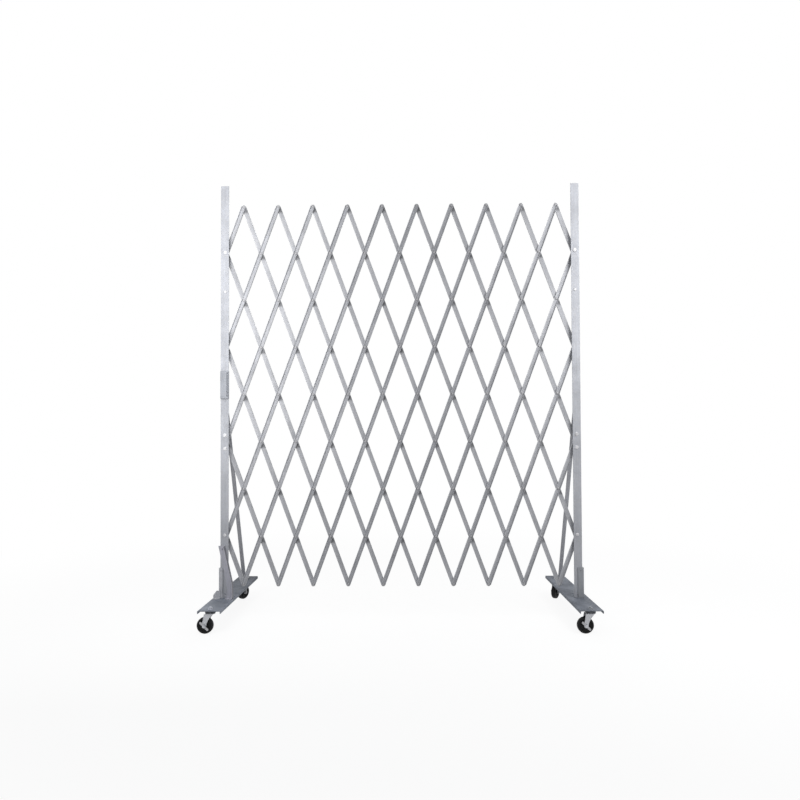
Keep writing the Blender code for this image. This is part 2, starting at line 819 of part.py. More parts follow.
# Foot brackets
def foot_bracket(side, stand, material):
    """Angle that wraps the outer front corner of the post foot and stands on the base."""
    wrap = POST_EDGE_TO_PIVOT + FIT_GAP
    outer = wrap + FOOT_BRACKET_WALL
    inner = outer - (LEFT_BRACKET_FRONT_LEG if side < 0.0 else RIGHT_BRACKET_FRONT_LEG)
    front_back = POST_FRONT - FIT_GAP
    front = front_back - FOOT_BRACKET_WALL
    outline = [
        (inner, front),
        (outer, front),
        (outer, front + FOOT_BRACKET_SIDE_LEG),
        (wrap, front + FOOT_BRACKET_SIDE_LEG),
        (wrap, front_back),
        (inner, front_back),
    ]
    bm = bmesh.new()
    add_prism(bm, outline, POST_BOTTOM, FOOT_BRACKET_TOP, along_z)
    solid = to_object("foot_bracket_%s" % side_name(side), bm, material)
    head = bmesh.new()
    profile = head_profile(front, FOOT_BRACKET_BOLT_HEIGHT, FOOT_BRACKET_BOLT_RADIUS, -1.0)
    centre = ((inner + outer) / 2.0, FOOT_BRACKET_TOP - FOOT_BRACKET_BOLT_DROP)
    add_lathe(head, profile, POST_SIDES, along_y, centre)
    fuse(solid, head)
    return place(smooth(to_side(solid, side)), stand)


# Knee strap
def strap_side(shift):
    """Bent line of the strap from its top to the base, shifted inward from the outer edge."""
    return [
        (STRAP_TOP_OUT - shift, STRAP_TOP_Z),
        (STRAP_FOOT_OUT - shift, STRAP_KNEE_Z),
        (STRAP_FOOT_OUT - shift, POST_BOTTOM),
    ]


def knee_strap(side, stand, material):
    """Bent angle from the front of the post down to the base, with a bolted foot tab."""
    back = POST_FRONT - FIT_GAP
    front = back - STRAP_WALL
    outline = strap_side(0.0) + strap_side(STRAP_WIDTH)[::-1]
    bm = bmesh.new()
    add_prism(bm, outline, front, back, along_y)
    solid = to_object("knee_strap_%s" % side_name(side), bm, material)
    flange = bmesh.new()
    flange_outline = strap_side(STRAP_WIDTH - STRAP_WALL) + strap_side(STRAP_WIDTH)[::-1]
    add_prism(flange, flange_outline, back - STRAP_FLANGE, back, along_y)
    fuse(solid, flange)
    tab = bmesh.new()
    tab_x = (STRAP_FOOT_OUT - STRAP_WIDTH, STRAP_FOOT_OUT)
    tab_front = front - STRAP_TAB_LENGTH
    tab_top = POST_BOTTOM + STRAP_WALL
    add_box(tab, tab_x, (tab_front, back), (POST_BOTTOM, tab_top))
    fuse(solid, tab)
    heads = bmesh.new()
    lean = (STRAP_TOP_OUT - STRAP_FOOT_OUT) / (STRAP_TOP_Z - STRAP_KNEE_Z)
    middle = (STRAP_WIDTH - STRAP_WALL) / 2.0
    head_centre = (STRAP_TOP_OUT - middle - lean * STRAP_BOLT_INSET, STRAP_TOP_Z - STRAP_BOLT_INSET)
    profile = head_profile(front, STRAP_BOLT_HEIGHT, STRAP_BOLT_RADIUS, -1.0)
    add_lathe(heads, profile, POST_SIDES, along_y, head_centre)
    tab_head = head_profile(tab_top, STRAP_BOLT_HEIGHT, STRAP_BOLT_RADIUS, 1.0)
    tab_centre = (STRAP_FOOT_OUT - middle, tab_front + STRAP_BOLT_INSET)
    add_lathe(heads, tab_head, POST_SIDES, along_z, tab_centre)
    fuse(solid, heads)
    return place(smooth(to_side(solid, side)), stand)


# Foot clip
def foot_clip(side, stand, material):
    """Small angle clip in front of the foot bracket at the outer side of the base."""
    back = POST_FRONT - FIT_GAP - FOOT_BRACKET_WALL - FIT_GAP
    front = back - CLIP_WALL
    outline = [
        (CLIP_INNER, POST_BOTTOM),
        (CLIP_OUTER, POST_BOTTOM),
        (CLIP_OUTER, CLIP_TOP - CLIP_CORNER_HEIGHT),
        (CLIP_OUTER - CLIP_CORNER_WIDTH, CLIP_TOP),
        (CLIP_INNER, CLIP_TOP),
    ]
    bm = bmesh.new()
    add_prism(bm, outline, front, back, along_y)
    solid = to_object("foot_clip_%s" % side_name(side), bm, material)
    tread = bmesh.new()
    tread_z = (POST_BOTTOM, POST_BOTTOM + CLIP_WALL)
    add_box(tread, (CLIP_INNER, CLIP_OUTER), (back - CLIP_TREAD, back), tread_z)
    fuse(solid, tread)
    head = bmesh.new()
    profile = head_profile(tread_z[1], CLIP_BOLT_HEIGHT, CLIP_BOLT_RADIUS, 1.0)
    head_centre = ((CLIP_INNER + CLIP_OUTER) / 2.0, back - (CLIP_TREAD + CLIP_WALL) / 2.0)
    add_lathe(head, profile, POST_SIDES, along_z, head_centre)
    fuse(solid, head)
    return place(smooth(to_side(solid, side)), stand)


# Lock box
def lock_box(side, stand, material):
    """Shallow box on the front of the post with an upright slot along its inner side."""
    back = POST_FRONT - FIT_GAP
    front = back - LOCK_DEPTH
    outline = [
        (LOCK_INNER, back),
        (LOCK_INNER, front + LOCK_CHAMFER),
        (LOCK_INNER + LOCK_CHAMFER, front),
        (LOCK_OUTER - LOCK_CHAMFER, front),
        (LOCK_OUTER, front + LOCK_CHAMFER),
        (LOCK_OUTER, back),
    ]
    bm = bmesh.new()
    add_prism(bm, outline, LOCK_BOTTOM, LOCK_TOP, along_z)
    solid = to_object("lock_box_%s" % side_name(side), bm, material)
    slot = bmesh.new()
    slot_x = (LOCK_INNER + LOCK_SLOT_INSET, LOCK_INNER + LOCK_SLOT_INSET + LOCK_SLOT_WIDTH)
    slot_z = (LOCK_BOTTOM + LOCK_SLOT_MARGIN, LOCK_TOP - LOCK_SLOT_MARGIN)
    add_box(slot, slot_x, (front - TOOL_OVERRUN, back - LOCK_SLOT_FLOOR), slot_z)
    cut(solid, slot)
    return place(smooth(to_side(solid, side)), stand)


# Casters
def caster_top(name, mount, clamped, material):
    """Threaded stem with its nut above the base and the swivel race and kingpin below it."""
    nut_face = BASE_TOP + FIT_GAP + clamped
    nut_top = nut_face + STEM_NUT_HEIGHT
    pin_low = FORK_PLATE_UNDERSIDE - FIT_GAP
    profile = [
        (KINGPIN_HEAD_RADIUS, pin_low - KINGPIN_HEAD_HEIGHT),
        (KINGPIN_HEAD_RADIUS, pin_low),
        (KINGPIN_RADIUS, pin_low),
        (KINGPIN_RADIUS, RACE_BOTTOM),
        (RACE_RADIUS - RACE_EDGE, RACE_BOTTOM),
        (RACE_RADIUS, RACE_BOTTOM + RACE_EDGE),
        (RACE_RADIUS, RACE_TOP),
        (STEM_RADIUS, RACE_TOP),
        (STEM_RADIUS, nut_top + STEM_TIP),
    ]
    bm = bmesh.new()
    add_lathe(bm, profile, CASTER_SIDES, along_z)
    solid = to_object("caster_top_%s" % name, bm, material)
    nut = bmesh.new()
    add_lathe(nut, [(STEM_NUT_RADIUS, nut_face), (STEM_NUT_RADIUS, nut_top)], NUT_SIDES, along_z)
    fuse(solid, nut)
    return place(smooth(solid), mount)


def fork_leg_outline():
    axle = (-CASTER_TRAIL, AXLE_HEIGHT)
    top = FORK_PLATE_UNDERSIDE + FORK_TOP_WALL / 2.0
    foot = disc_outline(FORK_FOOT_RADIUS, FORK_LEG_STEPS, pi, 2.0 * pi, axle)
    return foot + [(FORK_FRONT, top), (-FORK_BACK, top)]


def fork(name, mount, swivel, material):
    """Swivel fork: a round top plate, two legs that lean back to the axle, and the axle bolt."""
    bm = bmesh.new()
    radius = KINGPIN_RADIUS + STEM_HOLE_PLAY
    ring = [
        (radius, FORK_PLATE_UNDERSIDE),
        (FORK_TOP_RADIUS, FORK_PLATE_UNDERSIDE),
        (FORK_TOP_RADIUS, FORK_TOP),
        (radius, FORK_TOP),
    ]
    add_lathe(bm, ring, CASTER_SIDES, along_z, closed=True)
    solid = to_object("caster_fork_%s" % name, bm, material)
    legs = bmesh.new()
    add_prism(legs, fork_leg_outline(), LEG_INNER, LEG_OUTER, along_y)
    add_prism(legs, fork_leg_outline(), -LEG_OUTER, -LEG_INNER, along_y)
    fuse(solid, legs)
    lever_room = LEVER_WALL + 2.0 * FIT_GAP
    head_start = LEG_OUTER + lever_room
    axle = [
        (AXLE_HEAD_RADIUS, -head_start - AXLE_HEAD_HEIGHT),
        (AXLE_HEAD_RADIUS, -head_start),
        (AXLE_RADIUS, -head_start),
        (AXLE_RADIUS, LEG_OUTER - RIVET_SEAT),
        (AXLE_HEAD_RADIUS, LEG_OUTER - RIVET_SEAT),
        (AXLE_HEAD_RADIUS, LEG_OUTER + AXLE_HEAD_HEIGHT),
    ]
    pin = bmesh.new()
    add_lathe(pin, axle, AXLE_SIDES, along_y, (-CASTER_TRAIL, AXLE_HEIGHT))
    fuse(solid, pin)
    return place(smooth(solid), mount, (0.0, 0.0, 0.0), (0.0, 0.0, swivel))


def axle_frame(name, mount, swivel):
    offset = (-CASTER_TRAIL * cos(swivel), -CASTER_TRAIL * sin(swivel), AXLE_HEIGHT)
    frame = add_frame("axle_%s" % name, mount, offset)
    frame.rotation_euler = (0.0, 0.0, swivel)
    return frame


def wheel(name, axle, material):
    """Solid tyre with rounded shoulders, dished faces and a bored hub."""
    half = WHEEL_WIDTH / 2.0
    bore = AXLE_RADIUS + AXLE_PLAY
    one_side = [
        (bore, half),
        (WHEEL_BOSS_RADIUS, half),
        (WHEEL_BOSS_RADIUS, half - WHEEL_DISH),
        (WHEEL_RIM_RADIUS, half - WHEEL_DISH),
        (WHEEL_RIM_RADIUS, half - WHEEL_RIM_LIP),
        (WHEEL_RADIUS - WHEEL_SHOULDER_DROP, half - WHEEL_RIM_LIP),
        (WHEEL_RADIUS, half - WHEEL_SHOULDER),
    ]
    profile = one_side + [(radius, -y) for radius, y in reversed(one_side)]
    bm = bmesh.new()
    add_lathe(bm, profile, WHEEL_SIDES, along_y, closed=True)
    solid = to_object("wheel_%s" % name, bm, material)
    return place(smooth(solid), axle)


def brake_lever(name, axle, material):
    """Two-armed lever on the axle bolt outside the front leg of the fork."""
    reach = (LEVER_LENGTH - LEVER_WIDTH) / 2.0
    outline = disc_outline(LEVER_WIDTH / 2.0, LEVER_END_STEPS, pi, 2.0 * pi, (0.0, -reach))
    outline += disc_outline(LEVER_WIDTH / 2.0, LEVER_END_STEPS, 0.0, pi, (0.0, reach))
    front = -(LEG_OUTER + FIT_GAP + LEVER_WALL)
    back = -(LEG_OUTER + FIT_GAP)
    bm = bmesh.new()
    add_prism(bm, outline, front, back, along_y)
    solid = to_object("brake_lever_%s" % name, bm, material)
    bore = bmesh.new()
    radius = clear_radius(AXLE_RADIUS, AXLE_PLAY, AXLE_SIDES)
    through = [(radius, front - TOOL_OVERRUN), (radius, back + TOOL_OVERRUN)]
    add_lathe(bore, through, AXLE_SIDES, along_y)
    cut(solid, bore)
    return place(smooth(solid), axle, (0.0, 0.0, 0.0), (0.0, LEVER_ANGLE, 0.0))


REST_SWIVELS = {
    "left_front": radians(0.0),
    "left_rear": radians(60.0),
    "right_front": radians(0.0),
    "right_rear": radians(55.0),
}


def caster(side, end, stand, materials):
    name = "%s_%s" % (side_name(side), end)
    location = (side * base_centre(side), stem_positions()[end], 0.0)
    mount = add_frame("stem_%s" % name, stand, location)
    swivel = REST_SWIVELS[name]
    clamped = BRACE_WALL + FIT_GAP if end == "rear" else 0.0
    caster_top(name, mount, clamped, materials["race"])
    fork(name, mount, swivel, materials["fork"])
    axle = axle_frame(name, mount, swivel)
    wheel(name, axle, materials["wheel"])
    if end == "front":
        brake_lever(name, axle, materials["lever"])


# Stands
def build_stands():
    post_material = post_steel()
    bracket_material = bolt_steel()
    base_material = base_steel()
    brace_material = brace_steel()
    foot_material = foot_steel()
    caster_materials = {
        "race": race_steel(),
        "fork": fork_zinc(),
        "wheel": wheel_rubber(),
        "lever": lever_zinc(),
    }
    for side in (LEFT, RIGHT):
        location = (MID_X + side * PIVOT_SPAN / 2.0, GATE_Y, 0.0)
        stand = add_frame("stand_%s" % side_name(side), None, location)
        post(side, stand, post_material)
        pivot_bracket(side, stand, bracket_material)
        base(side, stand, base_material)
        brace(side, stand, brace_material)
        foot_bracket(side, stand, foot_material)
        for end in stem_positions():
            caster(side, end, stand, caster_materials)
        if side == LEFT:
            knee_strap(side, stand, foot_material)
            foot_clip(side, stand, foot_material)
            lock_box(side, stand, lock_steel())


def main():
    clear_scene()
    build_stands()
    build_lattice()


main()
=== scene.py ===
"""Looks of the folding lattice barrier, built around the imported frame."""
import json
from math import cos, pi, radians, sin, tan

import bmesh
import bpy
from mathutils import Matrix, Vector

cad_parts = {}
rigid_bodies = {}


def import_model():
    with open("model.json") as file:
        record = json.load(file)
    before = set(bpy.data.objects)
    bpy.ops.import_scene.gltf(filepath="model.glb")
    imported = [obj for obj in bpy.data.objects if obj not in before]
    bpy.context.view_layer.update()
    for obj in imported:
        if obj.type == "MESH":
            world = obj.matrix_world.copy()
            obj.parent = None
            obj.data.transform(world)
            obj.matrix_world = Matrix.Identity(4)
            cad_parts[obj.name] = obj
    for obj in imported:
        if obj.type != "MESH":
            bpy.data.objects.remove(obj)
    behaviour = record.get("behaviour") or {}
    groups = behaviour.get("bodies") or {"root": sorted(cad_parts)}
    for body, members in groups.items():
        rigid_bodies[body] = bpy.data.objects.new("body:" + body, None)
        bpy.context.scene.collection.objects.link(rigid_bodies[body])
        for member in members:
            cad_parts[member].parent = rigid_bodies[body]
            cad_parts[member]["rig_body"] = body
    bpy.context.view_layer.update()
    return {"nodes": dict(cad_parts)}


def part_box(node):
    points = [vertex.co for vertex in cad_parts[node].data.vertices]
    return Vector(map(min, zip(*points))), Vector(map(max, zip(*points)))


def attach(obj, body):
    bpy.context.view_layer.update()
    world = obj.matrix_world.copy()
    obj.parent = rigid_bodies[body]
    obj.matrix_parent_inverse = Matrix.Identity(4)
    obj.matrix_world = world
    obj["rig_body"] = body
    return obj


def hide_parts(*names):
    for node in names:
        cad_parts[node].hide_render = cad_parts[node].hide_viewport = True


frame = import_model()

# Camera, fitted to the photo
IMAGE_SIZE = 800.0
SENSOR = 36.0
CAMERA_PLACE = (0.03801, -2.86653, 0.82318)
CAMERA_YAW = radians(-0.663)
CAMERA_PITCH = radians(1.15)
CAMERA_ROLL = radians(-0.241)
FOCAL_PIXELS = 608.94
CENTRE_DROP_PIXELS = 24.73
CLIP_START = 0.05
CLIP_END = 60.0

# Lamps: name, place, target, width and height, power
LAMPS = (
    ("key", (-0.87, -0.93, 1.59), (-0.89, 0.0, 1.55), (0.7, 1.7), 11.9),
    ("side", (1.33, -0.93, 1.85), (1.48, 0.0, 1.40), (0.7, 1.7), 17.0),
    ("back", (0.0, 2.4, 2.6), (0.0, 0.0, 0.9), (2.5, 1.2), 16.0),
)
AMBIENT_COLOUR = (0.96, 0.98, 1.0, 1.0)
AMBIENT_LEVEL = 0.30

# Floor
FLOOR_REACH = 30.0
FLOOR_DROP = 0.0004
FLOOR_COLOUR = (0.82, 0.82, 0.82, 1.0)
FLOOR_GLOW = 1.10
SHADOW_FADE = (1.3, 3.2)
SHADOW_SHARE = 0.18
WHITE = (1.0, 1.0, 1.0, 1.0)

# Lattice, as in the solids
PIVOT_SPACING = 0.230
REST_ANGLE = radians(20.2)
HALF_PITCH = PIVOT_SPACING * sin(REST_ANGLE)
ROW_STEP = PIVOT_SPACING * cos(REST_ANGLE)
COLUMNS = 10
ROWS = 8
FIXED_ROW = 5
FIXED_PIVOT_HEIGHT = 0.8035
MID_X = 0.00675
GATE_Y = -0.093
FIRST_PIVOT_X = MID_X - COLUMNS * HALF_PITCH
BAR_HALF_WIDTH = 0.0095
WEB_FACE = 0.00015
BAR_WALL = 0.0019

# Rivets in the lattice
RIVET_SIDES = 28
RIVET_RADIUS = 0.0066
RIVET_HEIGHT = 0.0032
TAIL_GAP = 0.0003
TAIL_RADIUS = 0.0064
TAIL_HEIGHT = 0.0030

# Bolts on the posts
POST_FRONT = GATE_Y - 0.02135
BOLT_HEIGHTS = (1.4875, 0.382)
TOP_BOLT_HEIGHT = 1.6675
BOLT_RADIUS = 0.0074
BOLT_CROWN = 0.0034
TOP_BOLT_RADIUS = 0.0094
TOP_BOLT_CROWN = 0.0040
BRACKET_BOLT_SPREAD = 0.030
HEX_RADIUS = 0.0074
HEX_HEIGHT = 0.0044
WASHER_RADIUS = 0.0090
WASHER_HEIGHT = 0.0010
WASHER_LIFT = 0.0001

# Domes and rolled tails: shares of the radius and of the height
DOME_SHAPE = (
    (1.0, -0.20), (1.0, 0.22), (0.965, 0.42), (0.86, 0.66), (0.66, 0.87), (0.38, 0.97), (0.10, 1.0),
)
ROLLED_SHAPE = (
    (1.0, -0.05), (1.0, 0.45), (0.94, 0.78), (0.80, 0.97), (0.62, 1.0), (0.46, 0.84), (0.38, 0.50),
    (0.10, 0.44),
)

# Hexagon nuts and washers: shares of the radius and of the height
HALF_SIDE_ANGLE = pi / 6.0
CHAMFER_SHARE = 0.90
FACE_SHARE = 0.84
CENTRE_SHARE = 0.30
CENTRE_RISE = 1.01
WASHER_BORE_SHARE = 0.4
WASHER_RIM_HEIGHT_SHARE = 0.7
WASHER_RIM_SHARE = 0.97

# Casters, placed as in the solids, with the angle of each fork at rest in degrees
CASTERS = {"left_front": 0.0, "left_rear": 60.0, "right_front": 0.0, "right_rear": 55.0}
CASTER_TRAIL = 0.022
BASE_TOP = 0.100
BRACE_WALL = 0.0033
AXLE_HEIGHT = 0.034569
FIT_GAP = 0.0003
ROUND_SIDES = 48

# Swivel race: radius and height
RACE_TOP = 0.0967
RACE_BOTTOM = 0.0862
PIN_TOP = 0.0826
RACE_PROFILE = (
    (0.0020, 0.0792), (0.0052, 0.0794), (0.0072, 0.0806), (0.0076, PIN_TOP), (0.0040, PIN_TOP),
    (0.0040, RACE_BOTTOM), (0.0196, RACE_BOTTOM), (0.0212, 0.0868), (0.0219, 0.0880), (0.0219, 0.0902),
    (0.0210, 0.0914), (0.0198, 0.0920), (0.0198, 0.0928), (0.0214, 0.0934), (0.0224, 0.0944),
    (0.0226, 0.0956), (0.0220, 0.0966), (0.0050, RACE_TOP),
)

# Stem: nut, washer and the thread that stands over them
NUT_RADIUS = 0.0094
NUT_HEIGHT = 0.0075
STEM_WASHER_RADIUS = 0.0104
STEM_WASHER_HEIGHT = 0.0010
STEM_RADIUS = 0.0047
STEM_SINK = 0.0002
STEM_TIP = (0.0032, 0.0040)
THREAD_TURNS = 4
THREAD_PITCH = 0.00095
THREAD_CREST = 0.0050
THREAD_ROOT = 0.0044
CREST_START = 0.00025
CREST_END = 0.00045

# Fork: crown as radius and height, leg and panel as a side view in x and z
FORK_TOP = 0.0859
FORK_UNDERSIDE = 0.0829
CROWN_PROFILE = (
    (0.0045, FORK_UNDERSIDE), (0.0192, FORK_UNDERSIDE), (0.0206, 0.0834), (0.0211, 0.0844),
    (0.0208, 0.0854), (0.0198, FORK_TOP), (0.0045, FORK_TOP),
)
LEG_INNER = 0.0135
LEG_OUTER = 0.0161
LEG_FOOT_RADIUS = 0.0090
LEG_FOOT_STEPS = 12
LEG_EDGES = (
    (-0.0118, 0.0440), (-0.0070, 0.0560), (0.0000, 0.0680), (0.0080, 0.0775), (0.0118, 0.0844),
    (-0.0226, 0.0844), (-0.0242, 0.0760), (-0.0262, 0.0640), (-0.0286, 0.0520),
)
PANEL_FOOT = (-0.0190, 0.0500)
PANEL_FOOT_RADIUS = 0.0040
PANEL_FOOT_STEPS = 8
PANEL_EDGES = ((-0.0085, 0.0720), (-0.0155, 0.0745), (-0.0205, 0.0720))
PANEL_HEIGHT = 0.0007
FORK_BEVEL = 0.0004

# Axle bolt
LEVER_ROOM = 0.0030
AXLE_RADIUS = 0.0040
AXLE_HEX_RADIUS = 0.0070
AXLE_HEAD_HEIGHT = 0.0040
AXLE_HEAD_SINK = 0.0010
AXLE_NUT_HEIGHT = 0.0044
AXLE_END = 0.0060
SPACER_RADIUS = 0.0062
SEAT_SINK = 0.0002

# Tyre: shoulder as radius and inset from the side, parting line as radius and distance from the middle
WHEEL_HALF_WIDTH = 0.0120
TREAD_RADIUS = 0.03455
TYRE_SIDES = 72
TYRE_SHOULDER = (
    (0.0246, 0.0034), (0.0256, 0.0020), (0.0290, 0.0014), (0.0312, 0.0018), (0.0330, 0.0030),
    (0.0340, 0.0048), (0.0344, 0.0066),
)
PARTING_LINE = ((TREAD_RADIUS, 0.0012), (TREAD_RADIUS - 0.0002, 0.0008))

# Hub and bearing: face as radius and inset from the side, spoke as a cross section
HUB_SIDES = 60
HUB_FACE = (
    (0.0044, 0.0), (0.0080, 0.0), (0.0092, 0.0006), (0.0095, 0.0020), (0.0098, 0.0044),
    (0.0225, 0.0046), (0.0240, 0.0040), (0.0250, 0.0028),
)
SPOKES = 6
SPOKE_OUTLINE = ((0.0090, -0.0014), (0.0246, -0.0011), (0.0246, 0.0011), (0.0090, 0.0014))
SPOKE_HALF_WIDTH = 0.0098
BEARING_SEAT = 0.0119
BEARING_PROFILE = ((0.0045, 0.0), (0.0072, 0.0), (0.0072, 0.0004), (0.0066, 0.0007), (0.0045, 0.0007))

# Edges: limits, and the bevel width by the start of the node's name
SHARP_ANGLE = radians(32.0)
BEVEL_ANGLE = radians(40.0)
BEVEL_SEGMENTS = 2
WELD_REACH = 0.00001
SOFT_EDGES = {
    "bar_": 0.0005, "post_": 0.0008, "base_": 0.0006, "brace_": 0.0006, "foot_": 0.0010, "knee_": 0.0008,
    "lock_": 0.0005, "brake_": 0.0006,
}

# Noises of the finishes: scale, detail and roughness
ROLLING_LINES = (620.0, 4.0, 0.6)
ROLLING_BANDS = (120.0, 3.0, 0.6)
DULL_FILM = (9.0, 5.0, 0.62)
ZINC_GRAIN = (1500.0, 2.0, 0.55)
BASE_PATCHES = (17.0, 3.0, 0.5)
CROSSING_SHADE_CLOUDS = (190.0, 4.0, 0.65)
PLATE_CLOUDS = (70.0, 4.0, 0.6)
PLATE_GRAIN = (1800.0, 2.0, 0.55)
PLATE_SPOTS = (23.0, 5.0, 0.7)
RUBBER_SCUFFS = (55.0, 5.0, 0.65)
RUBBER_GRAIN = (1500.0, 3.0, 0.55)

# Whole range, and the ranges of a noise or a normal over which it takes effect
FULL = (0.0, 1.0)
NOISE_SPREAD = (0.3, 0.7)
FILM_LEVEL_RANGE = (0.42, 0.72)
FILM_ROUGH_RANGE = (0.4, 0.75)
PATCH_RANGE = (0.35, 0.65)
WEAR_RANGE = (0.38, 0.6)
CROSSING_SHADE_CLOUD_RANGE = (0.3, 0.55)
PLATE_SPOT_RANGE = (0.5, 0.75)
SCUFF_RANGE = (0.5, 0.78)
# Normal's x over which the painted shade on faces turned towards +X sets in
SHADED_SIDE_FACING = (0.5, 0.9)

# Zinc coat: bent crystals, streaks, film and a bump given as strength and distance
BEND_SCALE_SHARE = 0.6
BEND_DETAIL = 2.0
BEND_ROUGHNESS = 0.55
BEND_REACH = (0.004, 0.004, 0.004)
STREAK_SQUEEZE = 0.03
LINE_SWING = 0.12
BAND_SWING = 0.20
COLD_TINT = (0.965, 0.99, 1.035)
ZINC_ROUGH_SWING = 0.05
FILM_ROUGH = 0.16
# Heights between which the painted shade at the foot of a piece fades out
FOOT_SHADE_HEIGHTS = (0.06, 0.75)
# Depths of the bases over which painted light at the front turns to painted shade at the rear
REAR_SHADE_DEPTHS = (-0.32, 0.32)
ZINC_BUMP = (0.05, 0.0001)
LINE_BUMP_SHARE = 0.7
GRAIN_BUMP_SHARE = 0.3

# Worn edges of the lattice bars, and the painted shadow just below each row of crossings
EDGE_BAND = (BAR_HALF_WIDTH - 0.0011, BAR_HALF_WIDTH - 0.0002)
LEAST_WEAR = 0.25
EDGE_LEVEL = 1.08
EDGE_SMOOTHING = 0.08
CROSSING_SHADE_START = (0.004, 0.012)
CROSSING_SHADE_END = (0.020, 0.034)
LEAST_CROSSING_SHADE = 0.55
CROSSING_SHADE_ROUGH = 0.12

# Painted shadow on the left foot bracket and knee strap, where the post's foot lies in shade beside the
# strap: centre as x and z, edge in squared shares of its size
SHADOW_SPOT_CENTRE = (-0.787, 0.134)
SHADOW_SPOT_WIDTH = 0.011
SHADOW_SPOT_HEIGHT = 0.030
SHADOW_SPOT_EDGE = (0.4, 1.5)
SHADOW_SPOT_LEVEL = 0.62

# Plate and rubber, with bumps given as strength and distance
PLATE_SPOT_LEVEL = 0.78
PLATE_SMOOTH_SWING = 0.06
PLATE_ROUGH_SWING = 0.10
PLATE_BUMP = (0.12, 0.0002)
DUST_SHARE = 0.7
RUBBER_ROUGH = (0.46, 0.68)
RUBBER_SPECULAR = 0.2
RUBBER_BUMP = (0.25, 0.0003)


def lattice_x(column):
    return FIRST_PIVOT_X + 2.0 * HALF_PITCH * column


def lattice_z(row):
    return FIXED_PIVOT_HEIGHT + (FIXED_ROW - row) * ROW_STEP


# Node helpers
class Nodes:
    """Small wrapper that adds and links the nodes of one material or of the world."""

    def __init__(self, owner, output="ShaderNodeOutputMaterial"):
        owner.use_nodes = True
        self.owner = owner
        self.tree = owner.node_tree
        self.tree.nodes.clear()
        self.output = self.tree.nodes.new(output)

    def add(self, kind, inputs=None, **settings):
        node = self.tree.nodes.new(kind)
        for key, value in settings.items():
            setattr(node, key, value)
        for key, value in (inputs or {}).items():
            self.feed(node.inputs[key], value)
        return node

    def feed(self, socket, value):
        if isinstance(value, bpy.types.NodeSocket):
            self.tree.links.new(value, socket)
        else:
            socket.default_value = value

    def finish(self, shader):
        self.tree.links.new(shader.outputs[0], self.output.inputs[0])
        return self.owner

    def math(self, operation, first, second=0.0, clamp=False):
        node = self.add("ShaderNodeMath", operation=operation, use_clamp=clamp)
        self.feed(node.inputs[0], first)
        self.feed(node.inputs[1], second)
        return node.outputs[0]

    def product(self, *values):
        result = values[0]
        for value in values[1:]:
            result = self.math("MULTIPLY", result, value)
        return result

    def square(self, value):
        return self.math("MULTIPLY", value, value)

    def remap(self, value, source, target, smooth=False):
        """Value that runs over the target range while the first one runs over the source range."""
        node = self.add("ShaderNodeMapRange")
        if smooth:
            node.interpolation_type = "SMOOTHSTEP"
        for index, item in enumerate((value, *source, *target)):
            self.feed(node.inputs[index], item)
        return node.outputs[0]

    def swing(self, value, source, amount, smooth=False):
        """Factor that runs from one less the amount to one plus the amount."""
        return self.remap(value, source, (1.0 - amount, 1.0 + amount), smooth)

    def mix_colour(self, factor, first, second, blend="MIX"):
        node = self.add("ShaderNodeMix", data_type="RGBA", blend_type=blend)
        self.feed(node.inputs["Factor"], factor)
        self.feed(node.inputs[6], first)
        self.feed(node.inputs[7], second)
        return node.outputs[2]

    def scaled(self, colour, level):
        grey = self.add("ShaderNodeCombineColor")
        for index in range(3):
            self.feed(grey.inputs[index], level)
        return self.mix_colour(1.0, colour, grey.outputs[0], "MULTIPLY")

    def place(self, turn=0.0, squeeze=1.0):
        """Object coordinates, scaled along Z and then turned about Y."""
        where = self.add("ShaderNodeTexCoord")
        inputs = {
            "Vector": where.outputs["Object"],
            "Rotation": (0.0, turn, 0.0),
            "Scale": (1.0, 1.0, squeeze),
        }
        return self.add("ShaderNodeMapping", inputs).outputs[0]

    def axes(self, source="Object"):
        where = self.add("ShaderNodeTexCoord")
        return self.add("ShaderNodeSeparateXYZ", {"Vector": where.outputs[source]}).outputs

    def noise(self, vector, kind):
        scale, detail, roughness = kind
        inputs = {"Vector": vector, "Scale": scale, "Detail": detail, "Roughness": roughness}
        return self.add("ShaderNodeTexNoise", inputs).outputs["Fac"]

    def surface(self, colour, roughness, metallic, specular, height, bump):
        """Main shader, with a bump given as its strength and distance."""
        strength, distance = bump
        inputs = {"Strength": strength, "Distance": distance, "Height": height}
        relief = self.add("ShaderNodeBump", inputs)
        return self.finish(self.add("ShaderNodeBsdfPrincipled", {
            "Base Color": colour,
            "Metallic": metallic,
            "Roughness": roughness,
            "Specular IOR Level": specular,
            "Normal": relief.outputs[0],
        }))

    def seen_white(self):
        """One for camera, glossy and transmission rays, which see the background as white."""
        rays = self.add("ShaderNodeLightPath").outputs
        seen = self.math("MAXIMUM", rays["Is Camera Ray"], rays["Is Glossy Ray"])
        return self.math("MAXIMUM", seen, rays["Is Transmission Ray"])


def material_nodes(name):
    return Nodes(bpy.data.materials.new(name))


def rgba(colour):
    return (colour[0], colour[1], colour[2], 1.0)


# Zinc coat
def offset_across(m, turn):
    """Offset of a point from the centre line of its lattice bar, measured across the bar to the right."""
    axes = m.axes()
    across = m.math("ADD", m.math("MULTIPLY", axes[0], cos(turn)), m.math("MULTIPLY", axes[2], -sin(turn)))
    start = FIRST_PIVOT_X * cos(turn) - FIXED_PIVOT_HEIGHT * sin(turn)
    pitch = 2.0 * HALF_PITCH * cos(turn)
    steps = m.math("ADD", m.math("DIVIDE", m.math("SUBTRACT", across, start), pitch), 0.5)
    return m.math("MULTIPLY", m.math("SUBTRACT", m.math("FRACT", steps), 0.5), pitch)


def drop_below_pivot(m):
    """Drop of a point below the row of pivots over it."""
    height = m.axes()[2]
    steps = m.math("DIVIDE", m.math("SUBTRACT", FIXED_PIVOT_HEIGHT, height), ROW_STEP)
    return m.math("MULTIPLY", m.math("FRACT", steps), ROW_STEP)


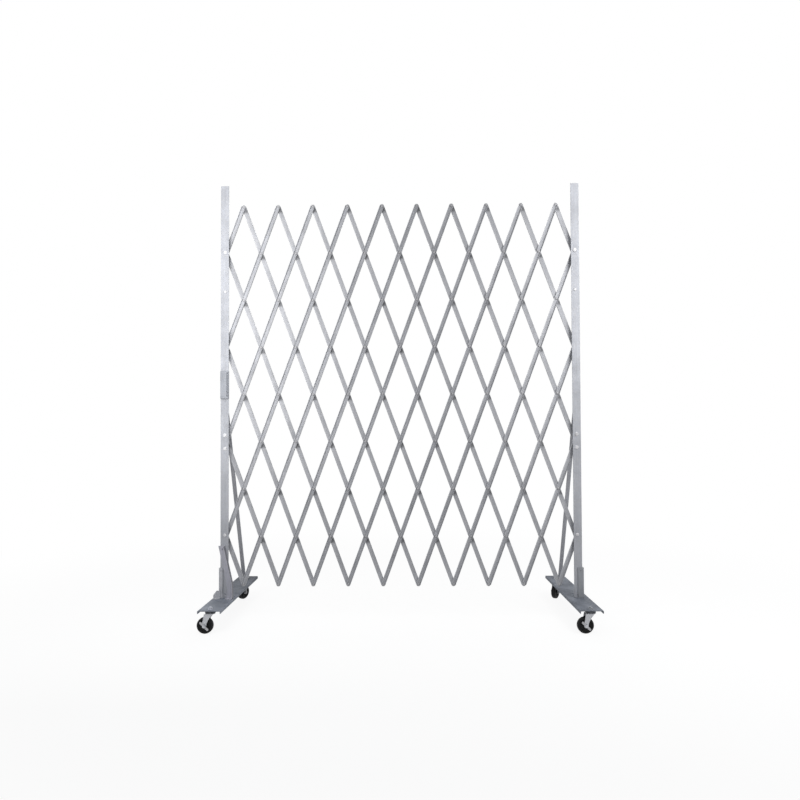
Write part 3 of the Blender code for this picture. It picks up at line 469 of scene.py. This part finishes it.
def spangle_cells(m, vector, scale):
    """Three random values for each crystal of the coat, in cells with bent edges."""
    bend = m.noise(vector, (scale * BEND_SCALE_SHARE, BEND_DETAIL, BEND_ROUGHNESS))
    bent = m.add("ShaderNodeVectorMath", {0: bend, 1: BEND_REACH, 2: vector}, operation="MULTIPLY_ADD")
    cells = m.add("ShaderNodeTexVoronoi", {"Vector": bent.outputs[0], "Scale": scale})
    return m.add("ShaderNodeSeparateColor", {"Color": cells.outputs["Color"]}).outputs


# Level of the painted shadow spot at the left foot, darkest at its centre
def shadow_spot_level(m):
    axes = m.axes()
    aside = m.math("DIVIDE", m.math("SUBTRACT", axes[0], SHADOW_SPOT_CENTRE[0]), SHADOW_SPOT_WIDTH)
    above = m.math("DIVIDE", m.math("SUBTRACT", axes[2], SHADOW_SPOT_CENTRE[1]), SHADOW_SPOT_HEIGHT)
    away = m.math("ADD", m.square(aside), m.square(above))
    return m.remap(away, SHADOW_SPOT_EDGE, (SHADOW_SPOT_LEVEL, 1.0), True)


def worn_edge(m, offset, bands):
    """One at the worn edges of a lattice bar, less where the rolling bands are dark."""
    edge = m.remap(m.math("ABSOLUTE", offset), EDGE_BAND, FULL, True)
    return m.math("MULTIPLY", edge, m.remap(bands, WEAR_RANGE, (LEAST_WEAR, 1.0)))


def painted_crossing_shade(m, vector):
    """One in the painted shadow just below each row of pivots, where the front bars shade the rear bars,
    broken up by noise.
    """
    drop = drop_below_pivot(m)
    crossing_shade_mask = m.product(m.remap(drop, CROSSING_SHADE_START, FULL, True), m.remap(drop, CROSSING_SHADE_END, (1.0, 0.0), True))
    clouds = m.noise(vector, CROSSING_SHADE_CLOUDS)
    return m.math("MULTIPLY", crossing_shade_mask, m.remap(clouds, CROSSING_SHADE_CLOUD_RANGE, (LEAST_CROSSING_SHADE, 1.0)))


def galvanised(name, colour, metallic=0.12, roughness=0.50, specular=0.25, turn=0.0, spangle=260.0,
               contrast=0.045, streak=0.35, dirt=0.16, foot=0.9, lattice=False, crossing_shade=0.0, shade=0.0,
               patches=0.0, painted_rear_shade=0.0, shadow_spot=False, side_shade=0.0):
    """Zinc coat with fine spangle, upright streaks and a dull film, worn edges on lattice bars, and the
    painted light and shade that the arguments ask for.
    """
    m = material_nodes(name)
    vector = m.place(turn)
    upright = m.place(turn, STREAK_SQUEEZE)
    grain = spangle_cells(m, vector, spangle)
    lines = m.noise(upright, ROLLING_LINES)
    bands = m.noise(upright, ROLLING_BANDS)
    film = m.noise(vector, DULL_FILM)
    level = m.product(
        m.swing(grain[0], FULL, contrast),
        m.swing(lines, NOISE_SPREAD, LINE_SWING * streak),
        m.swing(bands, NOISE_SPREAD, BAND_SWING * streak),
        m.remap(film, FILM_LEVEL_RANGE, (1.0, 1.0 - dirt)),
        # Painted shade: darker towards the foot of the piece, down to the foot level
        m.remap(m.axes()[2], FOOT_SHADE_HEIGHTS, (foot, 1.0), True),
    )
    if patches > 0.0:
        patch = m.swing(m.noise(vector, BASE_PATCHES), PATCH_RANGE, patches, True)
        # Random patches, and painted light at the front of a base turning to painted shade at its rear
        level = m.product(level, patch, m.swing(m.axes()[1], REAR_SHADE_DEPTHS, -painted_rear_shade))
    # Painted shadow at the left foot, beside the knee strap
    if shadow_spot:
        level = m.math("MULTIPLY", level, shadow_spot_level(m))
    # Painted shade on faces turned towards +X
    if side_shade > 0.0:
        facing = m.axes("Normal")[0]
        level = m.math("MULTIPLY", level, m.remap(facing, SHADED_SIDE_FACING, (1.0, 1.0 - side_shade)))
    rough_range = (roughness - ZINC_ROUGH_SWING, roughness + ZINC_ROUGH_SWING)
    film_rough = m.remap(film, FILM_ROUGH_RANGE, (0.0, FILM_ROUGH))
    rough = m.math("ADD", m.remap(grain[2], FULL, rough_range), film_rough)
    if lattice:
        offset = offset_across(m, turn)
        edge = worn_edge(m, offset, bands)
        crossing_shade_mask = painted_crossing_shade(m, vector)
        # Painted light on the left side of each bar and painted shade on its right side
        across_shade = m.swing(offset, (-BAR_HALF_WIDTH, BAR_HALF_WIDTH), -shade)
        level = m.product(level, across_shade, m.remap(edge, FULL, (1.0, EDGE_LEVEL)))
        # Painted shadow below the crossings, with more roughness where it lies
        level = m.math("MULTIPLY", level, m.remap(crossing_shade_mask, FULL, (1.0, 1.0 - crossing_shade)))
        rough = m.math("ADD", rough, m.remap(crossing_shade_mask, FULL, (0.0, CROSSING_SHADE_ROUGH)))
        rough = m.math("SUBTRACT", rough, m.remap(edge, FULL, (0.0, EDGE_SMOOTHING)), clamp=True)
    cold = [channel * tint for channel, tint in zip(colour, COLD_TINT)]
    tone = m.mix_colour(grain[1], rgba(colour), rgba(cold))
    line_bump = m.math("MULTIPLY", lines, LINE_BUMP_SHARE)
    height = m.math("ADD", line_bump, m.math("MULTIPLY", m.noise(vector, ZINC_GRAIN), GRAIN_BUMP_SHARE))
    return m.surface(m.scaled(tone, level), rough, metallic, specular, height, ZINC_BUMP)


# Plate and rubber
def plated(name, colour, metallic=0.5, roughness=0.32, specular=0.5, contrast=0.10):
    """Zinc plate with slight clouding, dull spots and a fine grain."""
    m = material_nodes(name)
    vector = m.place()
    cloud = m.noise(vector, PLATE_CLOUDS)
    spots = m.remap(m.noise(vector, PLATE_SPOTS), PLATE_SPOT_RANGE, (1.0, PLATE_SPOT_LEVEL))
    level = m.math("MULTIPLY", m.swing(cloud, NOISE_SPREAD, contrast), spots)
    rough_range = (roughness - PLATE_SMOOTH_SWING, roughness + PLATE_ROUGH_SWING)
    rough = m.remap(cloud, NOISE_SPREAD, rough_range)
    grain = m.noise(vector, PLATE_GRAIN)
    return m.surface(m.scaled(rgba(colour), level), rough, metallic, specular, grain, PLATE_BUMP)


def rubber(name, colour, dusty):
    """Black moulded rubber with scuffs, and dust where it is scuffed."""
    m = material_nodes(name)
    vector = m.place()
    scuff = m.noise(vector, RUBBER_SCUFFS)
    dust = m.remap(scuff, SCUFF_RANGE, (0.0, DUST_SHARE))
    base = m.mix_colour(dust, rgba(colour), rgba(dusty))
    rough = m.remap(scuff, NOISE_SPREAD, RUBBER_ROUGH)
    grain = m.noise(vector, RUBBER_GRAIN)
    return m.surface(base, rough, 0.0, RUBBER_SPECULAR, grain, RUBBER_BUMP)


# Finishes of the solids that stay
def dress(prefix, material):
    for name, node in frame["nodes"].items():
        if name.startswith(prefix):
            node.data.materials.clear()
            node.data.materials.append(material)


def dress_lattice():
    dress("bar_front_", galvanised(
        "front_bar_zinc", (0.53, 0.53, 0.545), turn=REST_ANGLE, lattice=True, foot=1.0, shade=0.15))
    dress("bar_rear_", galvanised(
        "rear_bar_zinc", (0.495, 0.495, 0.51), turn=-REST_ANGLE, lattice=True, foot=1.0, shade=0.08,
        crossing_shade=0.55))


def dress_bases():
    # Painted shade towards the rear: strong on the left base, slight on the right one
    for side, rear_shade in (("left", 0.46), ("right", 0.04)):
        dress("base_" + side, galvanised(
            "base_zinc_" + side, (0.225, 0.241, 0.274), metallic=0.15, roughness=0.55, specular=0.15,
            spangle=110.0, contrast=0.08, dirt=0.15, foot=1.0, patches=0.14, painted_rear_shade=rear_shade))


def dress_frame():
    dress_lattice()
    dress_bases()
    dress("post_", galvanised("post_zinc", (0.515, 0.52, 0.545), streak=0.30, foot=0.92))
    dress("brace_", galvanised("brace_zinc", (0.46, 0.46, 0.48)))
    dress("foot_", galvanised("foot_zinc", (0.62, 0.62, 0.645), shadow_spot=True))
    dress("foot_bracket_right", galvanised("bracket_zinc", (0.40, 0.41, 0.43)))
    dress("knee_", galvanised("strap_zinc", (0.52, 0.515, 0.56), foot=1.0, shadow_spot=True, side_shade=0.5))
    dress("lock_", galvanised("lock_zinc", (0.375, 0.385, 0.41)))
    dress("pivot_", plated("bolt_zinc", (0.66, 0.66, 0.68)))
    dress("brake_lever_", plated("lever_plate", (0.46, 0.46, 0.48)))


def add_bevel(piece, width):
    bevel = piece.modifiers.new("soft_edges", "BEVEL")
    bevel.width = width
    bevel.segments = BEVEL_SEGMENTS
    bevel.limit_method = "ANGLE"
    bevel.angle_limit = BEVEL_ANGLE
    bevel.harden_normals = True


def soften_edges():
    """Round the hard edges of the sections so that they catch the light."""
    for name, node in frame["nodes"].items():
        for prefix, width in SOFT_EDGES.items():
            if name.startswith(prefix):
                weld = node.modifiers.new("weld", "WELD")
                weld.merge_threshold = WELD_REACH
                add_bevel(node, width)


# Mesh helpers
def axis_place(origin, axis):
    """Frame whose Z runs along the axis, for shapes that are turned round it."""
    z_axis = Vector(axis)
    x_axis = Vector((1.0, 0.0, 0.0))
    turn = Matrix((x_axis, z_axis.cross(x_axis), z_axis)).transposed()
    return Matrix.Translation(origin) @ turn.to_4x4()


def circle(radius, height, sides=ROUND_SIDES):
    turns = [2.0 * pi * step / sides for step in range(sides)]
    return [(radius * cos(turn), radius * sin(turn), height) for turn in turns]


def hexagon(corner, height, chamfer):
    """Outline of a hexagon whose corners are turned down outside the chamfer radius."""
    flat = corner * cos(HALF_SIDE_ANGLE)
    points = []
    for step in range(ROUND_SIDES):
        turn = 2.0 * pi * step / ROUND_SIDES
        off_middle = (turn + HALF_SIDE_ANGLE) % (2.0 * HALF_SIDE_ANGLE) - HALF_SIDE_ANGLE
        radius = flat / cos(off_middle)
        drop = max(0.0, radius - chamfer) * tan(HALF_SIDE_ANGLE)
        points.append((radius * cos(turn), radius * sin(turn), height - drop))
    return points


def lower_half_circle(x, z, radius, steps):
    turns = [pi + pi * step / steps for step in range(steps + 1)]
    return [(x + radius * cos(turn), z + radius * sin(turn)) for turn in turns]


def shaped(shape, radius, height):
    return [(radius * across, height * along) for across, along in shape]


def mirrored(outer):
    """Whole profile of a ring of the wheel from its half on one side of the middle."""
    return outer + [(radius, -height) for radius, height in reversed(outer)]


def add_rings(bm, rings, place, closed=False):
    """Skin a row of rings, with a cap at both ends unless the last ring joins the first."""
    loops = [[bm.verts.new(place @ Vector(point)) for point in ring] for ring in rings]
    pairs = list(zip(loops, loops[1:]))
    if closed:
        pairs.append((loops[-1], loops[0]))
    for lower, upper in pairs:
        for index in range(len(lower)):
            after = (index + 1) % len(lower)
            bm.faces.new((lower[index], lower[after], upper[after], upper[index]))
    if not closed:
        bm.faces.new(list(reversed(loops[0])))
        bm.faces.new(loops[-1])


def add_turned(bm, profile, place, sides=ROUND_SIDES, closed=False):
    add_rings(bm, [circle(radius, height, sides) for radius, height in profile], place, closed)


def add_prism(bm, outline, low, high, place):
    """Straight body over an outline in the local XZ plane, from low to high along local Y."""
    near = [bm.verts.new(place @ Vector((x, low, z))) for x, z in outline]
    far = [bm.verts.new(place @ Vector((x, high, z))) for x, z in outline]
    for index in range(len(outline)):
        after = (index + 1) % len(outline)
        bm.faces.new((near[index], near[after], far[after], far[index]))
    bm.faces.new(list(reversed(near)))
    bm.faces.new(far)


def add_hex(bm, corner, height, place):
    rings = [
        hexagon(corner, 0.0, corner),
        hexagon(corner, height, corner * CHAMFER_SHARE),
        circle(corner * FACE_SHARE, height),
        circle(corner * CENTRE_SHARE, height * CENTRE_RISE),
    ]
    add_rings(bm, rings, place)


def add_washer(bm, radius, height, place):
    bore = radius * WASHER_BORE_SHARE
    profile = [
        (bore, 0.0),
        (radius, 0.0),
        (radius, height * WASHER_RIM_HEIGHT_SHARE),
        (radius * WASHER_RIM_SHARE, height),
        (bore, height),
    ]
    add_turned(bm, profile, place)


def add_piece(name, bm, material, body, bevel=0.0, replaces=None):
    bmesh.ops.recalc_face_normals(bm, faces=bm.faces)
    mesh = bpy.data.meshes.new(name)
    bm.to_mesh(mesh)
    bm.free()
    mesh.materials.append(material)
    for polygon in mesh.polygons:
        polygon.use_smooth = True
    mesh.set_sharp_from_angle(angle=SHARP_ANGLE)
    piece = bpy.data.objects.new(name, mesh)
    bpy.context.scene.collection.objects.link(piece)
    if bevel > 0.0:
        add_bevel(piece, bevel)
    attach(piece, body)
    if replaces:
        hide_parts(replaces)


def body_of(node):
    return frame["nodes"][node]["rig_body"]


def middle_of(node):
    low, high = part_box(node)
    return (low + high) / 2.0


# Rivets: a low dome in each front channel, a rolled tail in each rear channel
def rising_rivets(top_column):
    """Columns and rows of the rivets that one front bar carries, by where its line crosses the top row."""
    spots = []
    for row in range(ROWS + 1):
        column = top_column - row / 2.0
        on_stud = row == FIXED_ROW and column in (0.0, float(COLUMNS))
        if 0.0 <= column <= COLUMNS and not on_stud:
            spots.append((column, row))
    return spots


def make_rivets(material):
    head_face = GATE_Y - WEB_FACE - BAR_WALL
    tail_face = GATE_Y + WEB_FACE + BAR_WALL + TAIL_GAP
    for index in range(COLUMNS + ROWS // 2):
        bm = bmesh.new()
        for column, row in rising_rivets(index + 0.5):
            x, z = lattice_x(column), lattice_z(row)
            head = axis_place((x, head_face, z), (0.0, -1.0, 0.0))
            add_turned(bm, shaped(DOME_SHAPE, RIVET_RADIUS, RIVET_HEIGHT), head, RIVET_SIDES)
            tail = axis_place((x, tail_face, z), (0.0, 1.0, 0.0))
            add_turned(bm, shaped(ROLLED_SHAPE, TAIL_RADIUS, TAIL_HEIGHT), tail, RIVET_SIDES)
        name = "%02d" % (index + 1)
        add_piece("rivets_" + name, bm, material, body_of("bar_front_" + name))


# Bolts through the posts
def make_post_bolts(material):
    for side, column in (("left", 0), ("right", COLUMNS)):
        x = lattice_x(column)
        bm = bmesh.new()
        for height in BOLT_HEIGHTS:
            place = axis_place((x, POST_FRONT, height), (0.0, -1.0, 0.0))
            add_turned(bm, shaped(DOME_SHAPE, BOLT_RADIUS, BOLT_CROWN), place)
        place = axis_place((x, POST_FRONT, TOP_BOLT_HEIGHT), (0.0, -1.0, 0.0))
        add_turned(bm, shaped(DOME_SHAPE, TOP_BOLT_RADIUS, TOP_BOLT_CROWN), place)
        for step in (-1.0, 1.0):
            height = FIXED_PIVOT_HEIGHT + step * BRACKET_BOLT_SPREAD
            place = axis_place((x, POST_FRONT - WASHER_LIFT, height), (0.0, -1.0, 0.0))
            add_washer(bm, WASHER_RADIUS, WASHER_HEIGHT, place)
            add_hex(bm, HEX_RADIUS, HEX_HEIGHT, place)
        add_piece("post_bolts_" + side, bm, material, body_of("post_" + side))


# Casters
def stem_place(name):
    centre = middle_of("caster_top_" + name)
    return Matrix.Translation((centre.x, centre.y, 0.0))


def swivelled(name):
    return stem_place(name) @ Matrix.Rotation(radians(CASTERS[name]), 4, "Z")


def axle_place(name):
    return swivelled(name) @ Matrix.Translation((-CASTER_TRAIL, 0.0, AXLE_HEIGHT))


def make_race(name, material):
    """Double ball race with its dust groove, and the kingpin below it."""
    bm = bmesh.new()
    add_turned(bm, RACE_PROFILE, stem_place(name))
    top = "caster_top_" + name
    add_piece("swivel_race_" + name, bm, material, body_of(top), replaces=top)


def make_stem_nut(name, material):
    """Nut and washer on the base, or at the rear on the brace's tab, under the end of the thread."""
    place = stem_place(name)
    seat = BASE_TOP + FIT_GAP + (BRACE_WALL if name.endswith("rear") else 0.0)
    nut_top = seat + NUT_HEIGHT
    foot = place @ Matrix.Translation((0.0, 0.0, seat))
    bm = bmesh.new()
    add_washer(bm, STEM_WASHER_RADIUS, STEM_WASHER_HEIGHT, foot)
    add_hex(bm, NUT_RADIUS, NUT_HEIGHT, foot)
    thread = [(STEM_RADIUS, RACE_TOP - STEM_SINK), (STEM_RADIUS, nut_top)]
    for step in range(THREAD_TURNS):
        height = nut_top + THREAD_PITCH * step
        thread.append((THREAD_CREST, height + CREST_START))
        thread.append((THREAD_CREST, height + CREST_END))
        thread.append((THREAD_ROOT, height + THREAD_PITCH))
    thread.append((STEM_TIP[0], nut_top + STEM_TIP[1]))
    add_turned(bm, thread, place)
    add_piece("stem_nut_" + name, bm, material, body_of("caster_top_" + name))


def leg_outline():
    """Side view of a fork leg: wide under the plate, round at the axle, with hollowed edges."""
    foot = lower_half_circle(-CASTER_TRAIL, AXLE_HEIGHT, LEG_FOOT_RADIUS, LEG_FOOT_STEPS)
    return foot + list(LEG_EDGES)


def panel_outline():
    """Raised panel that stiffens a leg."""
    return lower_half_circle(*PANEL_FOOT, PANEL_FOOT_RADIUS, PANEL_FOOT_STEPS) + list(PANEL_EDGES)


def add_axle_bolt(bm, name):
    """Bolt with its nut on one leg and its head past the other, with a lever or a spacer between."""
    head_seat = LEG_OUTER + LEVER_ROOM
    axle = axle_place(name)
    pin = axle @ axis_place((0.0, 0.0, 0.0), (0.0, 1.0, 0.0))
    shank = [(AXLE_RADIUS, -head_seat - AXLE_HEAD_SINK), (AXLE_RADIUS, LEG_OUTER + AXLE_END)]
    add_turned(bm, shank, pin)
    head = axle @ axis_place((0.0, -head_seat, 0.0), (0.0, -1.0, 0.0))
    add_hex(bm, AXLE_HEX_RADIUS, AXLE_HEAD_HEIGHT, head)
    nut = axle @ axis_place((0.0, LEG_OUTER - SEAT_SINK, 0.0), (0.0, 1.0, 0.0))
    add_hex(bm, AXLE_HEX_RADIUS, AXLE_NUT_HEIGHT, nut)
    if name.endswith("rear"):
        spacer = axle @ axis_place((0.0, -LEG_OUTER + SEAT_SINK, 0.0), (0.0, -1.0, 0.0))
        add_turned(bm, [(SPACER_RADIUS, 0.0), (SPACER_RADIUS, LEVER_ROOM)], spacer)


def make_fork(name, material):
    """Pressed fork: round crown, two legs, axle bolt, and a raised panel on each leg without a lever."""
    place = swivelled(name)
    bm = bmesh.new()
    add_turned(bm, CROWN_PROFILE, place, closed=True)
    for side in (-1.0, 1.0):
        outer = side * LEG_OUTER
        low, high = sorted((side * LEG_INNER, outer))
        add_prism(bm, leg_outline(), low, high, place)
        if side > 0.0 or name.endswith("rear"):
            low, high = sorted((side * (LEG_OUTER + PANEL_HEIGHT), outer))
            add_prism(bm, panel_outline(), low, high, place)
    add_axle_bolt(bm, name)
    fork = "caster_fork_" + name
    add_piece("fork_" + name, bm, material, body_of(fork), FORK_BEVEL, fork)


def tyre_profile():
    shoulder = [(radius, WHEEL_HALF_WIDTH - inset) for radius, inset in TYRE_SHOULDER]
    return mirrored(shoulder + list(PARTING_LINE))


def hub_profile():
    return mirrored([(radius, WHEEL_HALF_WIDTH - inset) for radius, inset in HUB_FACE])


def make_wheel(name, tyre_black, hub_black, bright):
    """Tyre with rounded shoulders and a parting line, ribbed hub, and the end rings of its bearing."""
    axle = axle_place(name)
    place = axle @ axis_place((0.0, 0.0, 0.0), (0.0, 1.0, 0.0))
    body = body_of("wheel_" + name)
    bm = bmesh.new()
    add_turned(bm, tyre_profile(), place, TYRE_SIDES, True)
    add_piece("tyre_" + name, bm, tyre_black, body, replaces="wheel_" + name)
    bm = bmesh.new()
    add_turned(bm, hub_profile(), place, HUB_SIDES, True)
    for step in range(SPOKES):
        spoke = place @ Matrix.Rotation(2.0 * pi * step / SPOKES, 4, "Z")
        flat = spoke @ Matrix.Rotation(pi / 2.0, 4, "X")
        add_prism(bm, SPOKE_OUTLINE, -SPOKE_HALF_WIDTH, SPOKE_HALF_WIDTH, flat)
    add_piece("hub_" + name, bm, hub_black, body)
    bm = bmesh.new()
    for side in (-1.0, 1.0):
        ring = axle @ axis_place((0.0, side * BEARING_SEAT, 0.0), (0.0, side, 0.0))
        add_turned(bm, BEARING_PROFILE, ring, closed=True)
    add_piece("bearing_" + name, bm, bright, body)


def make_casters():
    dark = plated("race_zinc", (0.115, 0.12, 0.135), metallic=0.3, roughness=0.45, specular=0.3)
    bright = plated("nut_zinc", (0.64, 0.66, 0.72), metallic=0.25, roughness=0.38)
    dull = plated("nut_dull", (0.44, 0.46, 0.49), metallic=0.2, roughness=0.48, specular=0.3)
    fork = plated("fork_plate", (0.55, 0.56, 0.59))
    rear_fork = plated("rear_fork_plate", (0.26, 0.265, 0.275))
    tyre = rubber("tyre_black", (0.006, 0.006, 0.007), (0.024, 0.024, 0.023))
    hub = rubber("hub_black", (0.008, 0.008, 0.009), (0.020, 0.020, 0.020))
    for name in CASTERS:
        make_race(name, dark)
        make_stem_nut(name, dull if name == "right_front" else bright)
        make_fork(name, rear_fork if name.endswith("rear") else fork)
        make_wheel(name, tyre, hub, bright)


# Stage, world, lamps and camera
def make_floor_material():
    """Pale floor that the camera and reflections see as white, with the object's shadow kept near it."""
    m = material_nodes("floor_pale")
    axes = m.axes()
    squares = m.math("ADD", m.square(axes[0]), m.square(axes[1]))
    away = m.remap(m.math("SQRT", squares), SHADOW_FADE, FULL, True)
    share = m.math("MULTIPLY", m.seen_white(), m.remap(away, FULL, (1.0 - SHADOW_SHARE, 1.0)))
    plain = m.add("ShaderNodeBsdfDiffuse", {"Color": FLOOR_COLOUR})
    strength = m.remap(away, FULL, (FLOOR_GLOW, 1.0))
    glow = m.add("ShaderNodeEmission", {"Color": WHITE, "Strength": strength})
    return m.finish(m.add("ShaderNodeMixShader", {0: share, 1: plain.outputs[0], 2: glow.outputs[0]}))


def make_stage():
    bm = bmesh.new()
    reach = FLOOR_REACH
    corners = [(-reach, -reach), (reach, -reach), (reach, reach), (-reach, reach)]
    bm.faces.new([bm.verts.new((x, y, 0.0)) for x, y in corners])
    mesh = bpy.data.meshes.new("floor")
    bm.to_mesh(mesh)
    bm.free()
    mesh.materials.append(make_floor_material())
    floor = bpy.data.objects.new("floor", mesh)
    floor.location = (0.0, 0.0, -FLOOR_DROP)
    bpy.context.scene.collection.objects.link(floor)


def make_world():
    """Soft ambient light, and plain white for the rays that see the background."""
    world = bpy.data.worlds.new("studio")
    bpy.context.scene.world = world
    m = Nodes(world, "ShaderNodeOutputWorld")
    ambient = m.add("ShaderNodeBackground", {"Color": AMBIENT_COLOUR, "Strength": AMBIENT_LEVEL})
    white = m.add("ShaderNodeBackground", {"Color": WHITE, "Strength": 1.0})
    m.finish(m.add("ShaderNodeMixShader", {0: m.seen_white(), 1: ambient.outputs[0], 2: white.outputs[0]}))


def make_lamps():
    for name, place, target, size, power in LAMPS:
        data = bpy.data.lights.new(name, "AREA")
        data.shape = "RECTANGLE"
        data.size, data.size_y = size
        data.energy = power
        lamp = bpy.data.objects.new(name, data)
        lamp.location = place
        aim = Vector(target) - Vector(place)
        lamp.rotation_euler = aim.to_track_quat("-Z", "Y").to_euler()
        bpy.context.scene.collection.objects.link(lamp)


def make_camera():
    data = bpy.data.cameras.new("camera")
    data.sensor_width = SENSOR
    data.lens = FOCAL_PIXELS / IMAGE_SIZE * SENSOR
    data.shift_y = CENTRE_DROP_PIXELS / IMAGE_SIZE
    data.clip_start = CLIP_START
    data.clip_end = CLIP_END
    camera = bpy.data.objects.new("camera", data)
    bpy.context.scene.collection.objects.link(camera)
    forward = Vector((
        sin(CAMERA_YAW) * cos(CAMERA_PITCH),
        cos(CAMERA_YAW) * cos(CAMERA_PITCH),
        sin(CAMERA_PITCH),
    ))
    level = Vector((cos(CAMERA_YAW), -sin(CAMERA_YAW), 0.0))
    up = level.cross(forward)
    right = cos(CAMERA_ROLL) * level + sin(CAMERA_ROLL) * up
    top = -sin(CAMERA_ROLL) * level + cos(CAMERA_ROLL) * up
    turn = Matrix((right, top, -forward)).transposed()
    camera.matrix_world = Matrix.Translation(CAMERA_PLACE) @ turn.to_4x4()
    bpy.context.scene.camera = camera


def main():
    bpy.context.scene.view_settings.view_transform = "Standard"
    make_camera()
    make_world()
    make_lamps()
    make_stage()
    dress_frame()
    soften_edges()
    rivet = plated("rivet_zinc", (0.47, 0.47, 0.485), metallic=0.15, roughness=0.48, specular=0.3)
    make_rivets(rivet)
    bolt = plated("post_bolt_zinc", (0.66, 0.66, 0.68), metallic=0.25, roughness=0.40, specular=0.4)
    make_post_bolts(bolt)
    make_casters()


main()
